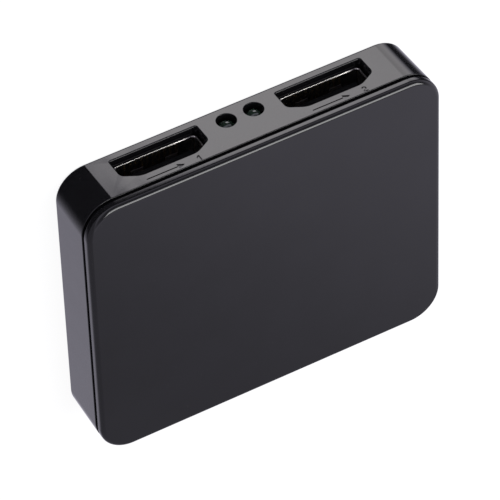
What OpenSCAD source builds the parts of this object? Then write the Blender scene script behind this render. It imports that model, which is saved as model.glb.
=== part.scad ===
// Video splitter: one input socket and two output sockets on a board in a flat two-part case.
// It lies on the back of its deep shell: +X runs along the output end, +Y points out of that end,
// and +Z points up through the cover. The origin is under the middle of the case. Millimetres.

/* [Case] */
// Wall of the deep shell
wall_t = 1.8; // [1.4:0.1:2.2]
// Floor of the deep shell
floor_t = 1.3; // [1:0.1:2]
// Plan radius of the case corners
corner_r = 5.5; // [4.4:0.1:6]
// Lean of the outer walls of the deep shell towards its back, in degrees
draft = 1.7; // [0:0.1:3]
// Radius of the edge round the back of the deep shell
back_edge_r = 0.5; // [0.4:0.1:1.2]
// Thickness of the cover at its rim
cover_t = 1.45; // [1.2:0.05:2.6]
// Radius of the edge round the face of the cover
cover_edge_r = 0.75; // [0.3:0.05:1]
// Width of the dark groove between the deep shell and the cover
groove_w = 0.65; // [0.4:0.05:0.9]
// Depth of the groove
groove_depth = 0.6; // [0.3:0.05:0.8]
// Room beside the output sockets, from socket to wall
side_room = 7.45; // [6.6:0.05:10]
// Room between the backs of the output sockets and the back of the input socket
mid_room = 25.9; // [24:0.1:36]
// Room above the board for its parts
part_room = 1.7; // [1.5:0.1:3]

/* [Cover fastening] */
// Height of the skirt that locates the cover in the neck of the shell
skirt_h = 1; // [0.6:0.1:1.3]
// Thickness of the skirt
skirt_t = 0.8; // [0.6:0.1:1.1]
// Clearance between the skirt and the neck
skirt_gap = 0.15; // [0.1:0.01:0.25]
// Diameter of the friction pins on the cover
pin_d = 2; // [1.6:0.1:2.4]
// Diameter of the shoulder that holds the board down at each pin
pin_shoulder_d = 3.6; // [3:0.1:4]
// How far a pin reaches into its boss
pin_reach = 3; // [2:0.1:4]
// Radial clearance of a pin in its boss
pin_gap = 0.03; // [0.02:0.01:0.08]
// Radial clearance of a pin in the board
pin_board_gap = 0.2; // [0.1:0.05:0.3]
// Diameter of the bosses
boss_d = 4.4; // [3.8:0.1:4.8]
// Distance from the middle of a boss to the walls of its corner
boss_inset = 3.2; // [3:0.1:4]
// Depth of the bore below the tip of a pin
bore_spare = 0.5; // [0.2:0.1:0.8]

/* [Board] */
// Thickness of the circuit board
board_t = 1.2; // [0.8:0.1:1.6]
// Clearance between the board and the walls
board_gap = 0.3; // [0.15:0.05:0.5]
// Clearance round a leg or a wire that passes through the board
leg_gap = 0.2; // [0.1:0.05:0.3]
// Length of a leg or a wire that stands out above the board
leg_tail = 0.6; // [0.3:0.1:0.9]

/* [Video sockets] */
// Distance between the two output sockets
port_pitch = 29; // [27:0.5:36]
// Place of the input socket along X
in_x = -8; // [-12:0.5:-2]
// Depth of a socket rim behind the face of the case
port_recess = 1.7; // [1.3:0.1:2.2]
// Clearance beside a socket in its opening
port_side_gap = 0.3; // [0.2:0.05:0.4]
// Clearance above and below a socket in its opening
port_height_gap = 0.1; // [0.05:0.05:0.2]
// Height of a socket above the floor of the case
socket_rise = 0.45; // [0.42:0.01:0.8]
// Width of the mouth of a socket
mouth_w = 14; // [13.6:0.1:14.6]
// Height of the mouth of a socket
mouth_h = 4.55; // [4.4:0.05:4.9]
// Height of the straight sides of the mouth
mouth_straight = 3.15; // [2.9:0.05:3.4]
// Width of the narrow side of the mouth
mouth_narrow = 9.1; // [8.4:0.1:10]
// Radius of the corners of the mouth
mouth_round = 0.5; // [0.2:0.05:0.7]
// Radius of the corners of an opening in the case
opening_round = 0.3; // [0.1:0.05:0.6]
// Thickness of the sheet metal
sheet_t = 0.25; // [0.2:0.01:0.3]
// Length of a socket
socket_len = 11.5; // [10.5:0.1:13]
// Width of the contact tongue
tongue_w = 11.6; // [10.8:0.1:12]
// Thickness of the contact tongue
tongue_t = 1.6; // [1.3:0.1:1.8]
// Depth of the tongue behind the rim
tongue_recess = 1.2; // [0.9:0.1:1.6]
// Length of the moulding that closes the back of a socket
block_len = 3.6; // [2.6:0.1:4.4]
// Clearance of the moulding in its metal shell
block_gap = 0.04; // [0.02:0.01:0.1]
// Width of a contact strip
contact_w = 0.3; // [0.24:0.01:0.36]
// Thickness of a contact strip
contact_t = 0.12; // [0.08:0.01:0.16]
// Distance between neighbouring contacts of one row
contact_pitch = 1; // [0.9:0.01:1.1]
// Distance of the contact strips behind the front of the tongue
contact_setback = 0.5; // [0.2:0.1:0.9]
// Length of the soldered foot of a contact
foot_len = 1; // [0.6:0.1:1.4]
// Length along the socket of a board leg
leg_w = 1; // [0.8:0.1:1.4]
// Distance of the front legs behind the rim
leg_front = 2.2; // [1.8:0.1:3]
// Distance from the front legs to the rear legs
leg_spacing = 6.4; // [5:0.1:7]

/* [Plug springs] */
// Width of a leaf spring
spring_w = 2.2; // [1.6:0.1:2.8]
// Length of a leaf spring
spring_len = 5.2; // [4.4:0.1:5.6]
// Distance between the two leaf springs
spring_pitch = 6; // [5:0.1:7]
// Distance of the spring roots behind the rim
spring_root = 2; // [1.6:0.1:2.6]
// Height of the bend that grips the plug
spring_bend = 0.25; // [0.15:0.01:0.3]
// Clearance round a leaf spring in its window
window_gap = 0.2; // [0.15:0.01:0.3]
// Clearance at the root, where the leaf bends
root_gap = 0.06; // [0.04:0.01:0.1]

/* [Power socket] */
// Place of the power socket along X
power_x = 14; // [10:0.5:16]
// Width of its mouth
power_mouth_w = 6.9; // [6.6:0.1:7.2]
// Height of its mouth
power_mouth_h = 1.85; // [1.7:0.05:2]
// Radius of the corners of its mouth
power_round = 0.25; // [0.1:0.05:0.3]
// Height of the straight sides of its mouth
power_straight = 1.1; // [0.9:0.05:1.3]
// Width of the narrow side of its mouth
power_narrow = 5.4; // [5:0.1:6]
// Length of the power socket
power_len = 5.6; // [5:0.1:6.6]
// Depth of its tongue behind the rim
power_recess = 0.8; // [0.5:0.1:1.2]
// Length of the moulding that closes its back
power_block = 1.8; // [1.4:0.1:2.4]
// Distance of its legs behind the rim
power_leg_front = 1.6; // [1.2:0.1:2.2]
// Width of its tongue
power_tongue_w = 3.8; // [3.4:0.1:4]
// Thickness of its tongue
power_tongue_t = 0.6; // [0.5:0.05:0.7]
// Distance between its contacts
power_pitch = 0.65; // [0.6:0.01:0.7]
// Clearance of the power socket in its opening
power_gap = 0.3; // [0.2:0.05:0.45]

/* [Lamps] */
// Diameter of an indicator lamp
led_d = 3; // [2.6:0.1:3.4]
// Length of a lamp from its flange to the tip of the dome
led_len = 4.5; // [3.8:0.1:5.4]
// Distance between the two lamps
led_pitch = 4.8; // [4.4:0.1:5.4]
// Radial clearance of a lamp in its hole
led_gap = 0.1; // [0.05:0.01:0.15]
// Depth of the dome behind the face of the case
led_recess = 0.7; // [0.4:0.1:1]
// Step of the lamp flange
flange_step = 0.2; // [0.1:0.05:0.25]
// Thickness of the lamp flange
flange_t = 0.9; // [0.7:0.1:1.2]
// Clearance of the flange above the floor
flange_rise = 0.1; // [0.05:0.01:0.3]
// Side of the square lamp wires
wire_s = 0.5; // [0.4:0.05:0.6]
// Distance between the two wires of a lamp
wire_pitch = 2.54; // [2.2:0.01:2.8]
// Straight run of a wire behind its lamp
wire_run = 1.5; // [1:0.1:3]

/* [Marks] */
// Height of the engraved marks
mark_h = 1.2; // [0.9:0.1:1.4]
// Width of the engraved strokes
mark_stroke = 0.22; // [0.16:0.01:0.28]
// Depth of the engraving
mark_depth = 0.2; // [0.1:0.05:0.4]
// Length of the arrow marks
arrow_len = 6.6; // [4:0.1:7]
// Distance of the marks from the groove
mark_edge = 0.2; // [0.1:0.05:0.4]
// Distance of a number from the middle of its socket
number_x = 4.6; // [3.8:0.1:5.4]

/* [Parts on the board] */
// Side of the splitter chip
chip_s = 10; // [9:0.1:11]
// Height of the splitter chip
chip_h = 1; // [0.8:0.05:1.1]
// Distance between the leads of the splitter chip
chip_pitch = 0.5; // [0.45:0.01:0.52]
// Length of the memory chip
eeprom_l = 4.9; // [4.5:0.1:5.2]
// Width of the memory chip
eeprom_w = 3.9; // [3.6:0.1:4.2]
// Distance between the leads of the memory chip
eeprom_pitch = 1.27; // [1.1:0.01:1.35]
// Length of the regulator
regulator_l = 2.9; // [2.7:0.1:3.1]
// Width of the regulator
regulator_w = 1.6; // [1.4:0.1:1.8]
// Distance between the leads of the regulator
regulator_pitch = 0.95; // [0.85:0.01:1]
// Height of the memory chip and the regulator
small_chip_h = 1.1; // [0.9:0.05:1.2]
// Thickness of a chip lead
lead_t = 0.14; // [0.1:0.01:0.18]
// Reach of a chip lead beside its chip
lead_reach = 0.9; // [0.7:0.05:1.1]
// Length of the crystal
crystal_l = 3.2; // [2.8:0.1:3.6]
// Width of the crystal
crystal_w = 2.5; // [2.2:0.1:2.8]
// Height of the crystal
crystal_h = 0.8; // [0.6:0.05:1]
// Side of the inductor
inductor_s = 4; // [3.4:0.1:4.4]
// Height of the inductor
inductor_h = 1.2; // [1:0.05:1.3]
// Length of a capacitor
capacitor_l = 1.6; // [1.4:0.1:1.8]
// Width and height of a capacitor
capacitor_s = 0.8; // [0.7:0.05:0.9]
// Length of a resistor
resistor_l = 1; // [0.8:0.1:1.2]
// Width of a resistor
resistor_w = 0.5; // [0.4:0.05:0.6]
// Height of a resistor
resistor_h = 0.35; // [0.3:0.01:0.45]
// Length of a surge protector
esd_l = 2.5; // [2.2:0.1:2.8]
// Width of a surge protector
esd_w = 1; // [0.8:0.1:1.2]
// Height of a surge protector
esd_h = 0.5; // [0.4:0.05:0.7]

/* [Hidden] */
$fn = 48;
arc_steps = 8;
round_steps = 4;
over = 0.01;

black = [0.05, 0.05, 0.055];
moulding = [0.09, 0.09, 0.09];
plated = [0.75, 0.75, 0.73];
gold = [0.85, 0.68, 0.3];
board_green = [0.05, 0.3, 0.14];
lamp_green = [0.25, 0.45, 0.3];
chip_black = [0.12, 0.12, 0.13];
tinned = [0.72, 0.72, 0.74];
ceramic_tan = [0.66, 0.52, 0.36];
ferrite_grey = [0.3, 0.3, 0.32];

// Sizes of a video socket, outside its metal
socket_w = mouth_w + 2 * sheet_t;
socket_h = mouth_h + 2 * sheet_t;
power_h = power_mouth_h + 2 * sheet_t;

// Heights in the case, from the floor up
socket_z = floor_t + socket_rise;
board_z = socket_z + socket_h;
board_top = board_z + board_t;
cover_z = board_top + part_room;
body_h = cover_z + cover_t;
shell_h = cover_z - groove_w;
power_z = board_z - power_h;

// Plan of the case
body_w = port_pitch + socket_w + 2 * (side_room + wall_t);
body_d = mid_room + 2 * (port_recess + socket_len);
board_inset = wall_t + board_gap;
boss_x = body_w / 2 - wall_t - boss_inset;
boss_y = body_d / 2 - wall_t - boss_inset;
out_y = body_d / 2 - port_recess;
bore_d = pin_d + 2 * pin_gap;
bore_depth = pin_reach + bore_spare;

// Inside a video socket
tongue_z = sheet_t + (mouth_h - tongue_t) / 2;
upper_row = 10;
lower_row = 9;

// Inside the power socket
power_tongue_z = sheet_t + (power_mouth_h - power_tongue_t) / 2;
power_row = 5;

// Lamps
flange_r = led_d / 2 + flange_step;
led_z = floor_t + flange_rise + flange_r;
led_tip_y = body_d / 2 - led_recess;
led_back_y = led_tip_y - led_len - flange_t;

// A list of places moved to a base
function around(base, places) = [for (p = places) [base[0] + p[0], base[1] + p[1], p[2]]];

// Places of the parts on the board: each group keeps to its chip or socket
chip_place = [-2, -1];
chip_side_leads = 16;
crystal_place = chip_place - [11, 0];
eeprom_place = [12.5, 3.5];
inductor_place = [power_x + 0.5, -7.5];
regulator_place = [power_x + 6, -9];
capacitor_places = concat(
    around(chip_place, [[-9.5, 9.5, 0], [-6.5, 9.5, 0], [6.5, 9.5, 0], [9.5, 9.5, 0],
                        [-7.5, -9.5, 90], [-5.5, -9.5, 90], [4.5, -9.5, 90], [6.5, -9.5, 90],
                        [-15.5, 3, 0], [-15.5, -3, 0]]),
    around([power_x, 0], [[-4, -4.5, 90], [-4, -8, 90], [9.5, -6, 0], [9.5, -12.5, 0]]));
resistor_places = concat(
    around(chip_place, [[-20, 10, 0], [-20, 8, 0], [-20, 6, 0], [-20, -7, 90], [-18, -7, 90],
                        [-3, 9.5, 90], [-1, 9.5, 90], [1, 9.5, 90], [3, 9.5, 90],
                        [10, 5.5, 0], [10, 3.5, 0]]),
    around(eeprom_place, [[5, 3, 0], [5, 1, 0], [5, -1, 0]]));
esd_behind = 1.4;
esd_spread = 8;
socket_back = out_y - socket_len;
esd_places = [for (place = [[-port_pitch / 2, 1], [port_pitch / 2, 1], [in_x, -1]], side = [-1, 1])
    [place[0] + side * esd_spread / 2, place[1] * (socket_back - esd_behind), 0]];

// Points of an arc
function arc(centre, r, from, to) =
    [for (i = [0 : arc_steps]) centre + r * [cos(from + (to - from) * i / arc_steps),
                                            sin(from + (to - from) * i / arc_steps)]];

// A corner of an outline, rounded unless its radius is zero
function corner(x, y, r, from) =
    r > 0
        ? arc([x - r * sign(cos(from + 45)), y - r * sign(sin(from + 45))], r, from, from + 90)
        : [[x, y]];

function unit(v) = v / norm(v);

// The corner at p between the points before and after it, as an arc
function round_corner(before, p, after, r) =
    let (u = unit(before - p),
         v = unit(after - p),
         half = acos(u * v) / 2,
         centre = p + unit(u + v) * r / sin(half),
         start = p + u * r / tan(half) - centre,
         from = atan2(start[1], start[0]))
    [for (i = [0 : round_steps])
        let (angle = from + (180 - 2 * half) * i / round_steps)
        centre + r * [cos(angle), sin(angle)]];

// A convex outline, drawn anticlockwise, with all its corners rounded
function rounded(points, r) =
    let (n = len(points))
    [for (i = [0 : n - 1]) each round_corner(points[(i + n - 1) % n], points[i], points[(i + 1) % n], r)];

// Outline of a socket with two bevelled corners, grown by t on all sides; the wide side is at y = -t
function socket_outline(w, h, straight, narrow, t = 0) =
    let (run = (w - narrow) / 2,
         rise = h - straight,
         slope = norm([run, rise]),
         side_y = straight + t * (1 - rise / slope) / (run / slope),
         top_x = narrow / 2 + t * (1 - run / slope) / (rise / slope))
    [[-w / 2 - t, -t], [w / 2 + t, -t], [w / 2 + t, side_y],
     [top_x, h + t], [-top_x, h + t], [-w / 2 - t, side_y]];

function video_outline(t = 0) =
    rounded(socket_outline(mouth_w, mouth_h, mouth_straight, mouth_narrow, t), mouth_round + t);

function power_outline(t = 0) =
    rounded(socket_outline(power_mouth_w, power_mouth_h, power_straight, power_narrow, t), power_round + t);

// A slab with round plan corners and, where wanted, round lower and upper edges and sides that lean in below
module rounded_slab(w, d, h, r, low_r = 0, high_r = 0, lean = 0) {
    low_d = d / 2 - lean;
    half = concat([[0, 0]], corner(r - lean, 0, low_r, -90), corner(r, h, high_r, 0), [[0, h]]);
    section = concat(corner(low_d, 0, low_r, -90), corner(d / 2, h, high_r, 0),
                     corner(-d / 2, h, high_r, 90), corner(-low_d, 0, low_r, 180));
    rotate([90, 0, 90]) linear_extrude(w - 2 * r, center = true) polygon(section);
    for (side = [0, 180]) rotate([0, 0, side]) {
        translate([w / 2 - r, 0, 0]) rotate([90, 0, 0])
            linear_extrude(d - 2 * r, center = true) polygon(half);
        translate([w / 2 - r, d / 2 - r, 0]) rotate_extrude(angle = 90) polygon(half);
        translate([r - w / 2, d / 2 - r, 0]) rotate([0, 0, 90]) rotate_extrude(angle = 90) polygon(half);
    }
}

// The case outline drawn in by a margin, from z for a height
module case_slab(margin, z, h, low_r = 0, high_r = 0, lean = 0) {
    translate([0, 0, z])
        rounded_slab(body_w - 2 * margin, body_d - 2 * margin, h, corner_r - margin, low_r, high_r, lean);
}

// A prism along -Y from a drawing in X and Z
module along_socket(length) {
    rotate([90, 0, 0]) linear_extrude(length) children();
}

// A strip across X from a drawing of depth and height
module across_socket(width) {
    rotate([90, 0, -90]) linear_extrude(width, center = true) children();
}

module at_bosses() {
    for (x = [-boss_x, boss_x], y = [-boss_y, boss_y]) translate([x, y, 0]) children();
}

module at_output(side) {
    translate([side * port_pitch / 2, out_y, socket_z]) children();
}

module at_input() {
    translate([in_x, -out_y, socket_z]) rotate([0, 0, 180]) children();
}

module at_power() {
    translate([power_x, -out_y, power_z]) rotate([0, 0, 180]) children();
}

// Marks, drawn upright and cut into the end walls

module arrow_mark() {
    head = mark_h;
    polygon([[0, -mark_stroke / 2], [arrow_len - head, -mark_stroke / 2], [arrow_len - head, -mark_h / 2],
             [arrow_len, 0], [arrow_len - head, mark_h / 2], [arrow_len - head, mark_stroke / 2],
             [0, mark_stroke / 2]]);
}

module number_one() {
    flag = 1.6 * mark_stroke;
    polygon([[-mark_stroke / 2, 0], [mark_stroke / 2, 0], [mark_stroke / 2, mark_h],
             [-mark_stroke / 2, mark_h], [-mark_stroke / 2 - flag, mark_h - flag],
             [-mark_stroke / 2 - flag, mark_h - 2 * flag], [-mark_stroke / 2, mark_h - flag]]);
}

module number_two() {
    outer = mark_h / 3;
    inner = outer - mark_stroke;
    middle = [0, mark_h - outer];
    polygon(concat(arc(middle, outer, 180, -30),
                   [[1.5 * mark_stroke - outer, mark_stroke], [outer, mark_stroke], [outer, 0], [-outer, 0],
                    [-outer, mark_stroke]],
                   arc(middle, inner, -40, 180)));
}

module direct_current_mark() {
    dash = mark_h / 2;
    for (i = [-1 : 1]) translate([i * 1.6 * dash, 0]) square([dash, mark_stroke], center = true);
    translate([0, 2 * mark_stroke]) square([4.2 * dash, mark_stroke], center = true);
}

module engrave(x, v) {
    translate([x, body_d / 2 - mark_depth, shell_h - mark_edge - v])
        rotate([-90, 0, 0]) linear_extrude(mark_depth + over) children();
}

module output_marks() {
    for (side = [-1, 1]) engrave(side * port_pitch / 2 - number_x, mark_h / 2) arrow_mark();
    engrave(number_x - port_pitch / 2, 0) number_one();
    engrave(number_x + port_pitch / 2, 0) number_two();
}

module input_marks() {
    rotate([0, 0, 180]) {
        engrave(-in_x + arrow_len / 2, mark_h / 2) mirror([1, 0]) arrow_mark();
        engrave(-power_x, mark_h / 2 - mark_stroke) direct_current_mark();
    }
}

// Openings in the end walls

module video_opening() {
    spare = 2 * (port_side_gap - port_height_gap);
    translate([0, port_recess + over, sheet_t]) along_socket(port_recess + wall_t)
        polygon(rounded(socket_outline(mouth_w + spare, mouth_h, mouth_straight, mouth_narrow + spare,
                                       sheet_t + port_height_gap), opening_round));
}

module power_opening() {
    translate([0, port_recess + over, sheet_t]) along_socket(port_recess + wall_t)
        polygon(power_outline(sheet_t + power_gap));
}

module led_hole(x) {
    translate([x, body_d / 2 + over, led_z]) rotate([90, 0, 0])
        cylinder(d = led_d + 2 * led_gap, h = wall_t + 2 * over);
}

// Case

module main_shell() color(black) {
    difference() {
        union() {
            case_slab(0, 0, shell_h, back_edge_r, lean = shell_h * tan(draft));
            case_slab(groove_depth, shell_h - over, groove_w + over);
        }
        case_slab(wall_t, floor_t, body_h);
        for (side = [-1, 1]) {
            at_output(side) video_opening();
            led_hole(side * led_pitch / 2);
        }
        at_input() video_opening();
        at_power() power_opening();
        output_marks();
        input_marks();
    }
    at_bosses() difference() {
        translate([0, 0, floor_t - over]) cylinder(d = boss_d, h = board_z - floor_t + over);
        translate([0, 0, board_z - bore_depth]) cylinder(d = bore_d, h = bore_depth + over);
    }
}

module cover() color(black) {
    skirt_margin = wall_t + skirt_gap;
    case_slab(0, cover_z, cover_t, 0, cover_edge_r);
    difference() {
        case_slab(skirt_margin, cover_z - skirt_h, skirt_h + over);
        case_slab(skirt_margin + skirt_t, cover_z - skirt_h - over, skirt_h + 2 * over);
    }
    at_bosses() {
        translate([0, 0, board_top]) cylinder(d = pin_shoulder_d, h = part_room + over);
        translate([0, 0, board_z - pin_reach]) cylinder(d = pin_d, h = pin_reach + board_t + over);
    }
}

// Board

module leg_slots(w, legs) {
    for (side = [-1, 1], y = legs)
        translate([side * (w - sheet_t) / 2, -y, 0])
            cube([sheet_t + 2 * leg_gap, leg_w + 2 * leg_gap, 4 * (socket_h + board_t)], center = true);
}

module circuit_board() color(board_green) difference() {
    case_slab(board_inset, board_z, board_t);
    at_bosses() translate([0, 0, board_z - over])
        cylinder(d = pin_d + 2 * pin_board_gap, h = board_t + 2 * over);
    for (side = [-1, 1]) at_output(side) leg_slots(socket_w, [leg_front, leg_front + leg_spacing]);
    at_input() leg_slots(socket_w, [leg_front, leg_front + leg_spacing]);
    at_power() leg_slots(power_mouth_w + 2 * sheet_t, [power_leg_front]);
    for (x = wire_places())
        translate([x, led_back_y - wire_run + wire_s / 2, board_z - over])
            cylinder(d = sqrt(2) * wire_s + 2 * leg_gap, h = board_t + 2 * over);
}

// Sockets: the mouth is at the origin and faces +Y, and the board lies on the narrow side

module board_legs(w, straight, h, legs) {
    for (side = [-1, 1], y = legs)
        translate([side * (w - sheet_t) / 2 - sheet_t / 2, -y - leg_w / 2, sheet_t + straight - leg_w])
            cube([sheet_t, leg_w, h + board_t + leg_tail - sheet_t - straight + leg_w]);
}

module socket_shell() color(plated) difference() {
    union() {
        translate([0, 0, sheet_t]) along_socket(socket_len)
            polygon(video_outline(sheet_t));
        board_legs(socket_w, mouth_straight, socket_h, [leg_front, leg_front + leg_spacing]);
    }
    translate([0, over, sheet_t]) along_socket(socket_len + 2 * over)
        polygon(video_outline());
    for (side = [-1, 1]) translate([side * spring_pitch / 2, -spring_root, -over])
        translate([-spring_w / 2 - window_gap, -spring_len - window_gap, 0])
            cube([spring_w + 2 * window_gap, spring_len + window_gap, sheet_t + 2 * over]);
}

module socket_springs() color(plated) {
    flat = 0.4 * spring_len;
    top = 0.8 * spring_len;
    tip = spring_len;
    for (side = [-1, 1]) translate([side * spring_pitch / 2, -spring_root, 0]) across_socket(spring_w)
        polygon([[root_gap, 0], [flat, 0], [top, spring_bend], [tip, 0],
                 [tip, sheet_t], [top, spring_bend + sheet_t], [flat, sheet_t], [root_gap, sheet_t]]);
}

// One contact: a strip along the tongue, a tail down the back of the moulding and a foot on the board
module contact(z, front, length, seat) {
    back = length + contact_t;
    across_socket(contact_w)
        polygon([[front, z], [back, z], [back, seat - contact_t], [length + foot_len, seat - contact_t],
                 [length + foot_len, seat], [length, seat], [length, z + contact_t], [front, z + contact_t]]);
}

module contact_row(count, pitch) {
    for (i = [0 : count - 1]) translate([(i - (count - 1) / 2) * pitch, 0, 0]) children();
}

module socket_contacts() color(gold) {
    front = tongue_recess + contact_setback;
    contact_row(upper_row, contact_pitch) contact(tongue_z - contact_t, front, socket_len, socket_h);
    contact_row(lower_row, contact_pitch) contact(tongue_z + tongue_t, front, socket_len, socket_h);
}

// A channel through the moulding for one contact strip
module channel(z, front, length) {
    translate([-contact_w / 2 - block_gap, -length - over, z])
        cube([contact_w + 2 * block_gap, length - front + 2 * over, contact_t + block_gap]);
}

module socket_insulator() color(moulding) difference() {
    block_front = socket_len - block_len;
    union() {
        translate([0, -block_front, sheet_t]) along_socket(block_len)
            polygon(video_outline(-block_gap));
        translate([-tongue_w / 2, -block_front - over, tongue_z])
            cube([tongue_w, block_front + over - tongue_recess, tongue_t]);
    }
    contact_row(upper_row, contact_pitch) channel(tongue_z - contact_t - block_gap, block_front, socket_len);
    contact_row(lower_row, contact_pitch) channel(tongue_z + tongue_t, block_front, socket_len);
}

module power_shell() color(plated) at_power() difference() {
    union() {
        translate([0, 0, sheet_t]) along_socket(power_len)
            polygon(power_outline(sheet_t));
        board_legs(power_mouth_w + 2 * sheet_t, power_straight, power_h, [power_leg_front]);
    }
    translate([0, over, sheet_t]) along_socket(power_len + 2 * over)
        polygon(power_outline());
}

module power_insulator() color(moulding) at_power() difference() {
    block_front = power_len - power_block;
    union() {
        translate([0, -block_front, sheet_t]) along_socket(power_block)
            polygon(power_outline(-block_gap));
        translate([-power_tongue_w / 2, -block_front - over, power_tongue_z])
            cube([power_tongue_w, block_front + over - power_recess, power_tongue_t]);
    }
    contact_row(power_row, power_pitch) channel(power_tongue_z + power_tongue_t, block_front, power_len);
}

module power_contacts() color(gold) at_power()
    contact_row(power_row, power_pitch)
        contact(power_tongue_z + power_tongue_t, power_recess + contact_setback, power_len, power_h);

// Lamps

module lamp(x) color(lamp_green) translate([x, led_back_y, led_z]) rotate([-90, 0, 0]) {
    cylinder(r = flange_r, h = flange_t);
    cylinder(d = led_d, h = flange_t + led_len - led_d / 2);
    translate([0, 0, flange_t + led_len - led_d / 2]) sphere(d = led_d);
}

function wire_places() =
    [for (lamp = [-1, 1], wire = [-1, 1]) lamp * led_pitch / 2 + wire * wire_pitch / 2];

module led_wires() color(tinned) {
    rise = board_top + leg_tail - led_z + wire_s / 2;
    for (x = wire_places()) translate([x, led_back_y, led_z - wire_s / 2]) across_socket(wire_s)
        polygon([[0, 0], [wire_run, 0], [wire_run, rise], [wire_run - wire_s, rise],
                 [wire_run - wire_s, wire_s], [0, wire_s]]);
}

// Parts on the board

module on_board(place) {
    translate([place[0], place[1], board_top]) rotate([0, 0, len(place) > 2 ? place[2] : 0]) children();
}

// A moulded chip body, lifted by the thickness of its leads, with a dimple at its first lead
module chip_body(l, w, h) {
    dimple_d = w / 8;
    difference() {
        translate([-l / 2, -w / 2, lead_t]) cube([l, w, h - lead_t]);
        translate([dimple_d - l / 2, dimple_d - w / 2, h - lead_t]) cylinder(d = dimple_d, h = lead_t + over);
    }
}

// A row of stepped leads beside one long side of a chip, whose side is at y = reach
module lead_row(count, pitch, reach, h, width) {
    knee = lead_reach / 2;
    outline = [[0, h / 2], [knee, h / 2], [knee, lead_t], [lead_reach, lead_t], [lead_reach, 0],
               [knee - lead_t, 0], [knee - lead_t, h / 2 - lead_t], [0, h / 2 - lead_t]];
    contact_row(count, pitch) translate([0, reach, 0])
        rotate([90, 0, 90]) linear_extrude(width, center = true) polygon(outline);
}

module splitter_chip() color(chip_black) on_board(chip_place) chip_body(chip_s, chip_s, chip_h);

module splitter_leads() color(tinned) on_board(chip_place)
    for (side = [0 : 90 : 270]) rotate([0, 0, side])
        lead_row(chip_side_leads, chip_pitch, chip_s / 2, chip_h, chip_pitch / 2);

module eeprom() color(chip_black) on_board(eeprom_place) chip_body(eeprom_l, eeprom_w, small_chip_h);

module eeprom_leads() color(tinned) on_board(eeprom_place)
    for (side = [0, 180]) rotate([0, 0, side])
        lead_row(4, eeprom_pitch, eeprom_w / 2, small_chip_h, eeprom_pitch / 3);

module regulator() color(chip_black) on_board(regulator_place)
    chip_body(regulator_l, regulator_w, small_chip_h);

module regulator_leads() color(tinned) on_board(regulator_place) {
    lead_row(3, regulator_pitch, regulator_w / 2, small_chip_h, regulator_pitch / 2.5);
    rotate([0, 0, 180])
        lead_row(2, 2 * regulator_pitch, regulator_w / 2, small_chip_h, regulator_pitch / 2.5);
}

// A metal can with a stepped foot
module crystal() color(plated) on_board(crystal_place) {
    step = crystal_h / 4;
    translate([-crystal_l / 2, -crystal_w / 2, 0]) cube([crystal_l, crystal_w, crystal_h - step]);
    translate([step - crystal_l / 2, step - crystal_w / 2, 0])
        cube([crystal_l - 2 * step, crystal_w - 2 * step, crystal_h]);
}

// A shielded coil with bevelled corners and a shallow round well
module inductor() color(ferrite_grey) on_board(inductor_place) {
    bevel = inductor_s / 8;
    half = inductor_s / 2;
    difference() {
        linear_extrude(inductor_h)
            polygon([[half, half - bevel], [half - bevel, half], [bevel - half, half],
                     [-half, half - bevel], [-half, bevel - half], [bevel - half, -half],
                     [half - bevel, -half], [half, bevel - half]]);
        translate([0, 0, inductor_h - inductor_h / 8]) cylinder(d = 0.7 * inductor_s, h = inductor_h);
    }
}

module small_parts(places, l, w, h) {
    for (place = places) on_board(place) translate([-l / 2, -w / 2, 0]) cube([l, w, h]);
}

module capacitors() color(ceramic_tan)
    small_parts(capacitor_places, capacitor_l, capacitor_s, capacitor_s);

module resistors() color(chip_black) small_parts(resistor_places, resistor_l, resistor_w, resistor_h);

module esd_arrays() color(chip_black) small_parts(esd_places, esd_l, esd_w, esd_h);

main_shell();
cover();
circuit_board();
at_output(-1) socket_shell();  // out1_shell
at_output(-1) socket_insulator();  // out1_insulator
at_output(-1) socket_contacts();  // out1_contacts
at_output(-1) socket_springs();  // out1_springs
at_output(1) socket_shell();  // out2_shell
at_output(1) socket_insulator();  // out2_insulator
at_output(1) socket_contacts();  // out2_contacts
at_output(1) socket_springs();  // out2_springs
at_input() socket_shell();  // in_shell
at_input() socket_insulator();  // in_insulator
at_input() socket_contacts();  // in_contacts
at_input() socket_springs();  // in_springs
power_shell();
power_insulator();
power_contacts();
lamp(-led_pitch / 2);  // led_1
lamp(led_pitch / 2);  // led_2
led_wires();
splitter_chip();
splitter_leads();
eeprom();
eeprom_leads();
regulator();
regulator_leads();
crystal();
inductor();
capacitors();
resistors();
esd_arrays();
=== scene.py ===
# %% [markdown]
# A small video splitter, dressed around its construction model
#
# The box copies one video input to two outputs. Its construction model is already exact, so this lesson
# never moves a part. It gives each part the surface that a hand or a lens meets: gloss black plastic with
# rounded lips, plated sheet metal, gold contacts and a green circuit board.

# %% Load the construction model
import math
import bmesh
import bpy
from mathutils import Matrix, Vector


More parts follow.
